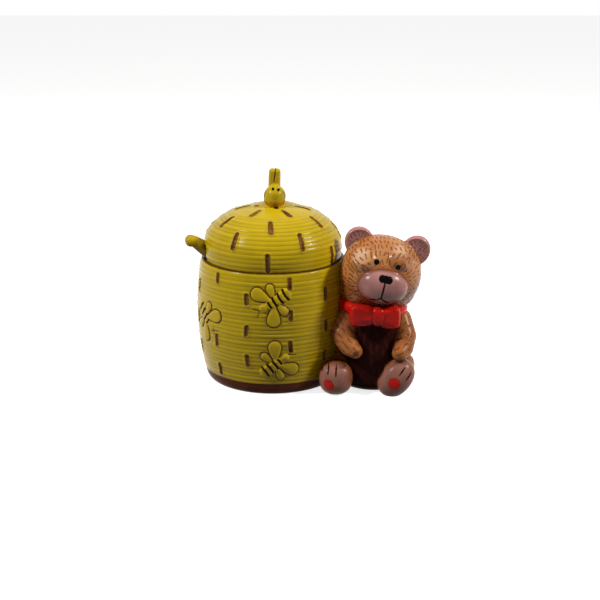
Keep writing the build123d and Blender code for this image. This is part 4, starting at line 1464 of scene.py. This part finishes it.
def body_colour(net, bear):
    """Coat with strokes, cocoa belly, mauve soles with scarlet spots, dark toes, and painted shade."""
    glazes = net.glazes
    x, y, z = net.split(net.place)
    drift = net.drift(12 * MM)
    fur = fur_strokes(net, (TORSO_LOW + TORSO_HIGH) / 2, 0.0, bear, 3.1 * MM, 26 * MM)
    paint = coat_colour(net, net.times(fur, 0.9), drift, 0.42)
    # painted shade: russet on the legs low down
    low = net.eased(z, 26 * MM, 12 * MM)
    limb = net.eased(net.kept("limb"), 0.5, -0.5)
    paint = net.cover(paint, glazes.russet, low, limb, 0.55)
    belly = net.kept_edge("belly", 0.6, 0.6)
    streaked = net.vector("MULTIPLY", net.place, (1.0, 1.0, 0.28))
    streak = net.eased(net.noise(streaked, FINE_GRAIN, 3.0), 0.52, 0.68)
    paint = net.cover(paint, net.cover(glazes.cocoa, BELLY_STREAK, streak, 0.6), belly)
    foot = net.eased(net.kept("foot"), 0.4, -0.4)
    sole = net.times(foot, net.eased(y, -38 * MM, -42 * MM))
    warm = net.mix(0.3, glazes.mauve, glazes.fawn)
    mauve = net.mix(net.ramp(drift, 0.4, 0.42), warm, glazes.plum)
    paint = net.cover(paint, mauve, sole, 0.92)
    # painted shade: russet on the right foot's side towards the middle, between x 41 and 56 mm
    ankle = net.times(net.eased(x, 41 * MM, 46 * MM), net.eased(x, 56 * MM, 52 * MM))
    paint = net.cover(paint, glazes.russet, ankle, foot, 0.75)
    paint = shaded_crease(net, paint)
    line, spot = painter(net)
    front = net.eased(y, -34 * MM, -37 * MM)
    for widened, spot_colour in ((0.4 * MM, glazes.russet), (0.0, glazes.scarlet)):
        for middle, radius in SOLE_SPOTS:
            paint = net.cover(paint, spot_colour, spot(middle, radius + widened, 0.4), front)
    paint = net.cover(paint, glazes.soot, spot(PAW_SPOT, PAW_SPOT_RADIUS, 1.2), front, 0.6)
    for start, end in TOES:
        paint = net.cover(paint, TOE_PAINT, line(start, end, 1.0 * MM, 0.4), front)
    grooves = net.times(fur, net.minus(1.0, belly), net.minus(1.0, sole), 0.2)
    return paint, net.plus(grooves, net.times(streak, belly, -0.15))


def dish_ear(middle, points):
    """Presses a round dish into an ear's front; returns how deep it lies at each point."""
    away = np.hypot(points[:, 0] - middle.x, points[:, 2] - middle.z)
    front = eased(points[:, 1], middle.y + 1.0 * MM, middle.y - 2.0 * MM)
    dish = np.clip(1 - (away / EAR_DISH_RADIUS) ** 4, 0, 1) * front
    points[:, 1] += dish * EAR_DISH
    return dish


class HONEYPOT_OT_head(bpy.types.Operator):
    """Fuses the bear's head from its skull, cheeks, muzzle and dished ears, and paints its face"""

    bl_idname = "honeypot.head"
    bl_label = "Bear Head"

    def execute(self, context):
        bear, glazes = context.scene.honey_bear, context.scene.honey_glazes
        tilt = bear.head_tilt
        forms = {
            "skull": [
                add_pebble(HEAD_MIDDLE, HEAD_RADII, HEAD_SQUARENESS, tilt),
                *(add_ball(middle, (radius,) * 3) for middle, radius in CHEEKS),
                *(add_ball(middle, BROW_RADII) for middle in BROWS),
            ],
            "muzzle": [add_ball(MUZZLE_MIDDLE, MUZZLE_RADII, tilt)],
            "ears": [
                add_ball(RIGHT_EAR, RIGHT_EAR_RADII, -0.2),
                add_ball(LEFT_EAR, LEFT_EAR_RADII, 0.55),
            ],
        }
        nose = add_limb(NOSE[0] + NOSE_OUT, NOSE[2] + NOSE_OUT + at(0, 0.2, 0), NOSE_RADIUS, 2.0 * MM)
        trees = {name: [tree_of(form) for form in group] for name, group in forms.items()}
        head = fused("bear_head_skin", sum(forms.values(), [nose]), bear.voxel, 5)
        near = {name: np.min([distances(head, t) for t in group], axis=0) for name, group in trees.items()}
        points = points_of(head)
        dish = dish_ear(RIGHT_EAR, points) + dish_ear(LEFT_EAR, points)
        move_points(head, points)
        others = np.minimum(near["skull"], near["ears"])
        paint_values(head, "muzzle", (near["muzzle"] - others) * 0.7)
        front = eased(points[:, 1] / MM, -19.0, -16.0) * 6.0
        paint_values(head, "ear", (near["ears"] - near["skull"]) * 0.7 + front + 0.3)
        paint_values(head, "dish", np.clip(dish * 1.3, 0, 1))
        ordered = np.sort(np.stack(list(near.values())), axis=0)
        paint_values(head, "crease", ordered[1])
        smooth_all(head, 180)
        material = glazed(
            "bear_glaze", glazes, head_colour, shine=0.2, ripple=0.06, gloss=0.22, bear=bear
        )
        settle(
            head, "pot", material, "bear_glaze",
            "bear_head", "bear_muzzle", "bear_nose", "bear_right_ear", "bear_left_ear",
        )
        return {"FINISHED"}


class HONEYPOT_OT_body(bpy.types.Operator):
    """Fuses the bear's torso, arms, legs and feet, and paints its coat, belly and soles"""

    bl_idname = "honeypot.body"
    bl_label = "Bear Body"

    def execute(self, context):
        bear, glazes = context.scene.honey_bear, context.scene.honey_glazes
        middle = (TORSO_LOW + TORSO_HIGH) / 2
        forms = {"torso": turned_body("torso", TORSO_RINGS, middle, TORSO_DEPTH)}
        for name, joints in {**ARMS, **LEGS}.items():
            forms[name] = limb_chain(joints)
        for name, (place, radii, squareness, lean) in FEET.items():
            forms[name] = add_pebble(place, radii, squareness, lean)
        trees = {name: tree_of(form) for name, form in forms.items()}
        body = fused("bear_body_skin", list(forms.values()), bear.voxel, 5)
        stand_on_floor(body)
        near = {name: distances(body, tree) for name, tree in trees.items()}
        arms = np.minimum(near["right_arm"], near["left_arm"])
        legs = np.minimum(near["right_leg"], near["left_leg"])
        feet = np.minimum(near["right_foot"], near["left_foot"])
        limbs = np.minimum(np.minimum(arms, legs), feet)
        points = points_of(body) / MM
        back = eased(points[:, 1], -27.0, -22.0) * 8.0 - 4.0
        paint_values(body, "belly", np.maximum((near["torso"] - limbs) * 0.7, back))
        paint_values(body, "limb", (legs - near["torso"]) * 0.7)
        paint_values(body, "foot", (feet - np.minimum(np.minimum(arms, legs), near["torso"])) * 0.7)
        ordered = np.sort(np.stack([near["torso"], arms, legs, feet]), axis=0)
        paint_values(body, "crease", ordered[1])
        smooth_all(body, 180)
        material = glazed("bear_body_glaze", glazes, body_colour, shine=0.2, ripple=0.07, bear=bear)
        nodes = ["bear_torso", *("bear_" + name for name in (*ARMS, *LEGS, *FEET))]
        settle(body, "pot", material, "bear_glaze", *nodes)
        return {"FINISHED"}


# ------------------------------------------------------------------ bow
COLLAR_MIDDLE, COLLAR_TILT = at(58.7, -19.4, 49.2), 5.2
COLLAR_RADIUS, COLLAR_THICKNESS = 18.2 * MM, 2.7 * MM
COLLAR_HEIGHT = 1.25              # its section's height over its depth
RIGHT_LOOP, RIGHT_LOOP_RADII = at(51.8, -37.4, 47.9), at(7.4, 4.0, 6.9)
LEFT_LOOP, LEFT_LOOP_RADII = at(67.7, -37.0, 46.5), at(6.2, 4.0, 7.3)
KNOT_MIDDLE, KNOT_RADII = at(61.0, -38.1, 47.4), at(4.0, 3.6, 5.6)
FOLD_DEPTH = 0.22 * MM
FOLD_RED = (0.30, 0.006, 0.005)
CREASE_SHADE_RED = (0.20, 0.004, 0.003)


def bow_loop(middle, radii, side):
    """A puffed, squarish loop, pinched and folded towards the knot; side is where it hangs."""
    loop = add_pebble((0.0, 0.0, 0.0), (1.0, 1.0, 1.0), 3.4)
    squared = points_of(loop)
    outward = squared[:, 0] * side
    squared[:, 2] *= 0.90 + 0.10 * outward
    turns = np.arctan2(squared[:, 2], outward + 1.6)
    folds = np.sin(turns * 11.0) * eased(outward, 0.7, -0.6) * FOLD_DEPTH
    points = squared * np.array(radii)
    points[:, 1] += folds * (points[:, 1] < 0)
    move_points(loop, points + np.array(middle))
    return loop


def bow_colour(net):
    """Scarlet, deeper red in patches, with painted shade in the creases where the loops, knot and collar
    meet.
    """
    paint = net.cover(net.glazes.scarlet, FOLD_RED, net.drift(8 * MM), 0.5)
    # painted shade: darker red in the creases
    return net.cover(paint, CREASE_SHADE_RED, net.eased(net.kept("crease"), 0.9, 0.1), 0.4), 0.0


class HONEYPOT_OT_bow(bpy.types.Operator):
    """Fuses the collar, the two loops and the knot of the bear's bow"""

    bl_idname = "honeypot.bow"
    bl_label = "Bow"

    def execute(self, context):
        glazes, bear = context.scene.honey_glazes, context.scene.honey_bear
        rest_hands()
        bpy.ops.mesh.primitive_torus_add(
            major_radius=COLLAR_RADIUS, minor_radius=COLLAR_THICKNESS, major_segments=96, minor_segments=24
        )
        tilted = (0.0, math.radians(COLLAR_TILT), 0.0)
        collar = placed(context.object, COLLAR_MIDDLE, (1.0, 0.95, COLLAR_HEIGHT), tilted)
        forms = [
            collar,
            bow_loop(RIGHT_LOOP, RIGHT_LOOP_RADII, -1),
            bow_loop(LEFT_LOOP, LEFT_LOOP_RADII, 1),
            add_pebble(KNOT_MIDDLE, KNOT_RADII, 2.8, 0.05),
        ]
        trees = [tree_of(form) for form in forms]
        bow = fused("bow_skin", forms, bear.voxel * 0.8, 2)
        ordered = np.sort(np.stack([distances(bow, tree) for tree in trees]), axis=0)
        paint_values(bow, "crease", ordered[1])
        smooth_all(bow, 180)
        material = glazed("bow_glaze", glazes, bow_colour, shine=0.18)
        settle(bow, "pot", material, "bow_glaze", "bow_collar", "bow_knot", "bow_right_loop", "bow_left_loop")
        return {"FINISHED"}


# ------------------------------------------------------------------ knob and spoon
KNOB_MIDDLE = (KNOB_LOW + KNOB_HIGH) / 2
KNOB_RADIUS = (KNOB_HIGH.x - KNOB_LOW.x) / 2
TAIL_BACK = 4.4 * MM
KNOB_EYES = (at(0.5, 0, 115.3), at(3.6, 0, 114.8))
# middle of the painted shade at the bee's snout
KNOB_SNOUT_SHADE = at(1.7, 0, 111.0)
KNOB_SLIT = (at(2.1, 0, 127.2), at(0.9, 0, 118.4))
KNOB_FOOT_LINE = tuple(Vector((x * MM, 0, KNOB_LOW.z + up * MM)) for x, up in ((-1.0, 0.2), (3.6, -0.2)))
STRIPE_BACK = -2.4 * MM
STRIPE_HALF = 0.75                # half the stripe's width, in mm
CHIN_AMBER = (0.48, 0.20, 0.008)
KNOB_EYE_BLACK = (0.006, 0.003, 0.002)
HANDLE = (                        # way up the stem, lift off its line and radius, in mm
    (12.7, 0.1, 2.5),
    (9.0, 0.9, 3.4),
    (5.0, 1.4, 3.9),
    (1.2, 0.9, 3.5),
    (-4.0, 0.0, 2.7),
)


def knob_colour(net):
    """Yellow, amber under the chin, painted shade at the snout, umber on the stripe behind the head and
    between the wings.
    """
    glazes = net.glazes
    _, y, z = net.split(net.place)
    paint = net.cover(glazes.honey, glazes.olive, net.drift(8 * MM), 0.4)
    chin = net.times(
        net.eased(z, KNOB_MIDDLE.z - 2.2 * MM, KNOB_MIDDLE.z - 3.6 * MM),
        net.eased(y, 1 * MM, -2 * MM),
        net.eased(z, KNOB_LOW.z + 0.2 * MM, KNOB_LOW.z + 1.6 * MM),
    )
    paint = net.cover(paint, CHIN_AMBER, chin, 0.85)
    back = net.math("ABSOLUTE", net.minus(y, KNOB_MIDDLE.y + STRIPE_BACK))
    stripe = net.edge(net.minus(net.times(back, TO_MM), STRIPE_HALF), 0.5, 0.4)
    rise = net.times(
        net.eased(z, KNOB_LOW.z + 0.8 * MM, KNOB_LOW.z + 2 * MM),
        net.eased(z, KNOB_HIGH.z - 2.4 * MM, KNOB_HIGH.z - 4.4 * MM),
    )
    paint = net.cover(paint, glazes.umber, stripe, rise, 0.9)
    line, spot = painter(net)
    front = net.eased(y, -1.0 * MM, -2.5 * MM)
    paint = net.cover(paint, glazes.umber, line(*KNOB_SLIT, 0.8 * MM, 0.3))
    paint = net.cover(paint, glazes.umber, line(*KNOB_FOOT_LINE, 0.9 * MM, 0.5), front)
    # painted shade: an olive spot at the snout
    paint = net.cover(paint, glazes.olive, spot(KNOB_SNOUT_SHADE, 2.0 * MM, 2.0), front, 0.5)
    for middle in KNOB_EYES:
        paint = net.cover(paint, KNOB_EYE_BLACK, spot(middle, 0.8 * MM, 0.2), front)
    return paint, 0.0


class HONEYPOT_OT_knob(bpy.types.Operator):
    """Fuses the knob: a bee's head and body on a flared foot, with two upright wings"""

    bl_idname = "honeypot.knob"
    bl_label = "Bee Knob"

    def execute(self, context):
        glazes = context.scene.honey_glazes
        crown = DOME_HEIGHT[-1]
        tail = KNOB_MIDDLE + Vector((0, TAIL_BACK, -1.4 * MM))
        head = add_ball(KNOB_MIDDLE + at(0, -0.6, -1.1), (KNOB_RADIUS, KNOB_RADIUS, KNOB_RADIUS * 1.16))
        behind = add_ball(tail, (KNOB_RADIUS * 1.04,) * 3)
        forms = [head, behind]
        for i in range(7):
            t = i / 6
            radius = KNOB_RADIUS * (0.92 + 0.75 * t * t)
            middle = Vector((KNOB_MIDDLE.x, TAIL_BACK * 0.75, crown + 2.0 * MM - t * 2.6 * MM))
            forms.append(add_ball(middle, (radius, radius, 1.5 * MM)))
        wing_radius = (WINGS_HIGH.x - WINGS_LOW.x) / 4
        wing_middle = (WINGS_LOW.x + WINGS_HIGH.x) / 2
        for side in (-1, 1):
            x = wing_middle + side * wing_radius * 0.76 + 1.0 * MM
            top_x = x + 0.3 * MM - side * wing_radius * 0.16
            top = Vector((top_x, 0.4 * MM, WINGS_HIGH.z - wing_radius * 1.3))
            foot = Vector((x, 0.8 * MM, KNOB_HIGH.z - 3 * MM))
            forms.append(add_limb(foot, top, wing_radius * 1.16, wing_radius * 1.24))
        knob = fused("knob_skin", forms, 0.32 * MM, 7)
        smooth_all(knob, 180)
        material = glazed("knob_glaze", glazes, knob_colour, shine=0.14)
        settle(knob, "lid", material, "knob_glaze", "knob_bee_head", "knob_bee_body", "knob_bee_wings")
        return {"FINISHED"}


def spoon_colour(net):
    """The hive's yellow, olive in the hollows and umber where the stem sits in the notch."""
    glazes = net.glazes
    paint = net.mix(net.ramp(net.drift(10 * MM), 0.5, 0.3), glazes.honey, glazes.olive)
    leave, _ = spoon_line()
    seat = net.effect(
        net.effects["spot"], Place=net.place, Middle=leave, Radius=2.6 * MM, Wobble=1.5
    )
    return net.cover(paint, glazes.umber, seat, 0.5), 0.0


class HONEYPOT_OT_spoon(bpy.types.Operator):
    """Fuses the spoon's fat handle, its stem and its hollow bowl"""

    bl_idname = "honeypot.spoon"
    bl_label = "Spoon"

    def execute(self, context):
        glazes = context.scene.honey_glazes
        leave, down = spoon_line()
        pick_up(frame["nodes"]["spoon"])
        bpy.ops.object.duplicate()
        body = context.object
        body.name = "spoon_blank"
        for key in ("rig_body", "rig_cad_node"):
            del body[key]
        bpy.ops.object.parent_clear(type="CLEAR_KEEP_TRANSFORM")
        bpy.ops.object.mode_set(mode="EDIT")
        bpy.ops.mesh.select_all(action="SELECT")
        bpy.ops.mesh.remove_doubles(threshold=0.002 * MM)
        bpy.ops.object.mode_set(mode="OBJECT")
        handle = limb_chain(
            [(leave - down * way * MM + at(0, 0, lift), radius) for way, lift, radius in HANDLE]
        )
        spoon = fused("spoon_skin", [body, handle], 0.45 * MM, 5)
        smooth_all(spoon, 180)
        material = glazed("spoon_glaze", glazes, spoon_colour)
        settle(spoon, "spoon", material, "hive_glaze", "spoon")
        return {"FINISHED"}


class HONEYPOT_PT_panel(bpy.types.Panel):
    """Lists the pieces, their sizes and their glazes"""

    bl_idname = "HONEYPOT_PT_panel"
    bl_label = "Honey Pot"
    bl_space_type = "VIEW_3D"
    bl_region_type = "UI"
    bl_category = "Honey Pot"

    def draw(self, context):
        layout = self.layout
        for group in GROUPS:
            box = layout.box()
            settings = getattr(context.scene, group)
            for name in settings.bl_rna.properties.keys():
                if name not in ("rna_type", "name"):
                    box.prop(settings, name)
        for operator in STEPS:
            layout.operator(operator.bl_idname)


GROUPS = {
    "honey_hive": HoneyPotHive,
    "honey_bear": HoneyPotBear,
    "honey_glazes": HoneyPotGlazes,
    "honey_stage": HoneyPotStage,
}
STEPS = (
    HONEYPOT_OT_jar,
    HONEYPOT_OT_lid,
    HONEYPOT_OT_knob,
    HONEYPOT_OT_spoon,
    HONEYPOT_OT_head,
    HONEYPOT_OT_body,
    HONEYPOT_OT_bow,
    HONEYPOT_OT_stage,
)
CLASSES = (*GROUPS.values(), *STEPS, HONEYPOT_PT_panel)


def register():
    for each in CLASSES:
        bpy.utils.register_class(each)
    for name, group in GROUPS.items():
        setattr(bpy.types.Scene, name, bpy.props.PointerProperty(type=group))


def unregister():
    for name in GROUPS:
        delattr(bpy.types.Scene, name)
    for each in reversed(CLASSES):
        bpy.utils.unregister_class(each)


def main():
    register()
    for step in STEPS:
        module, name = step.bl_idname.split(".")
        getattr(getattr(bpy.ops, module), name)()


if __name__ == "__main__":
    main()
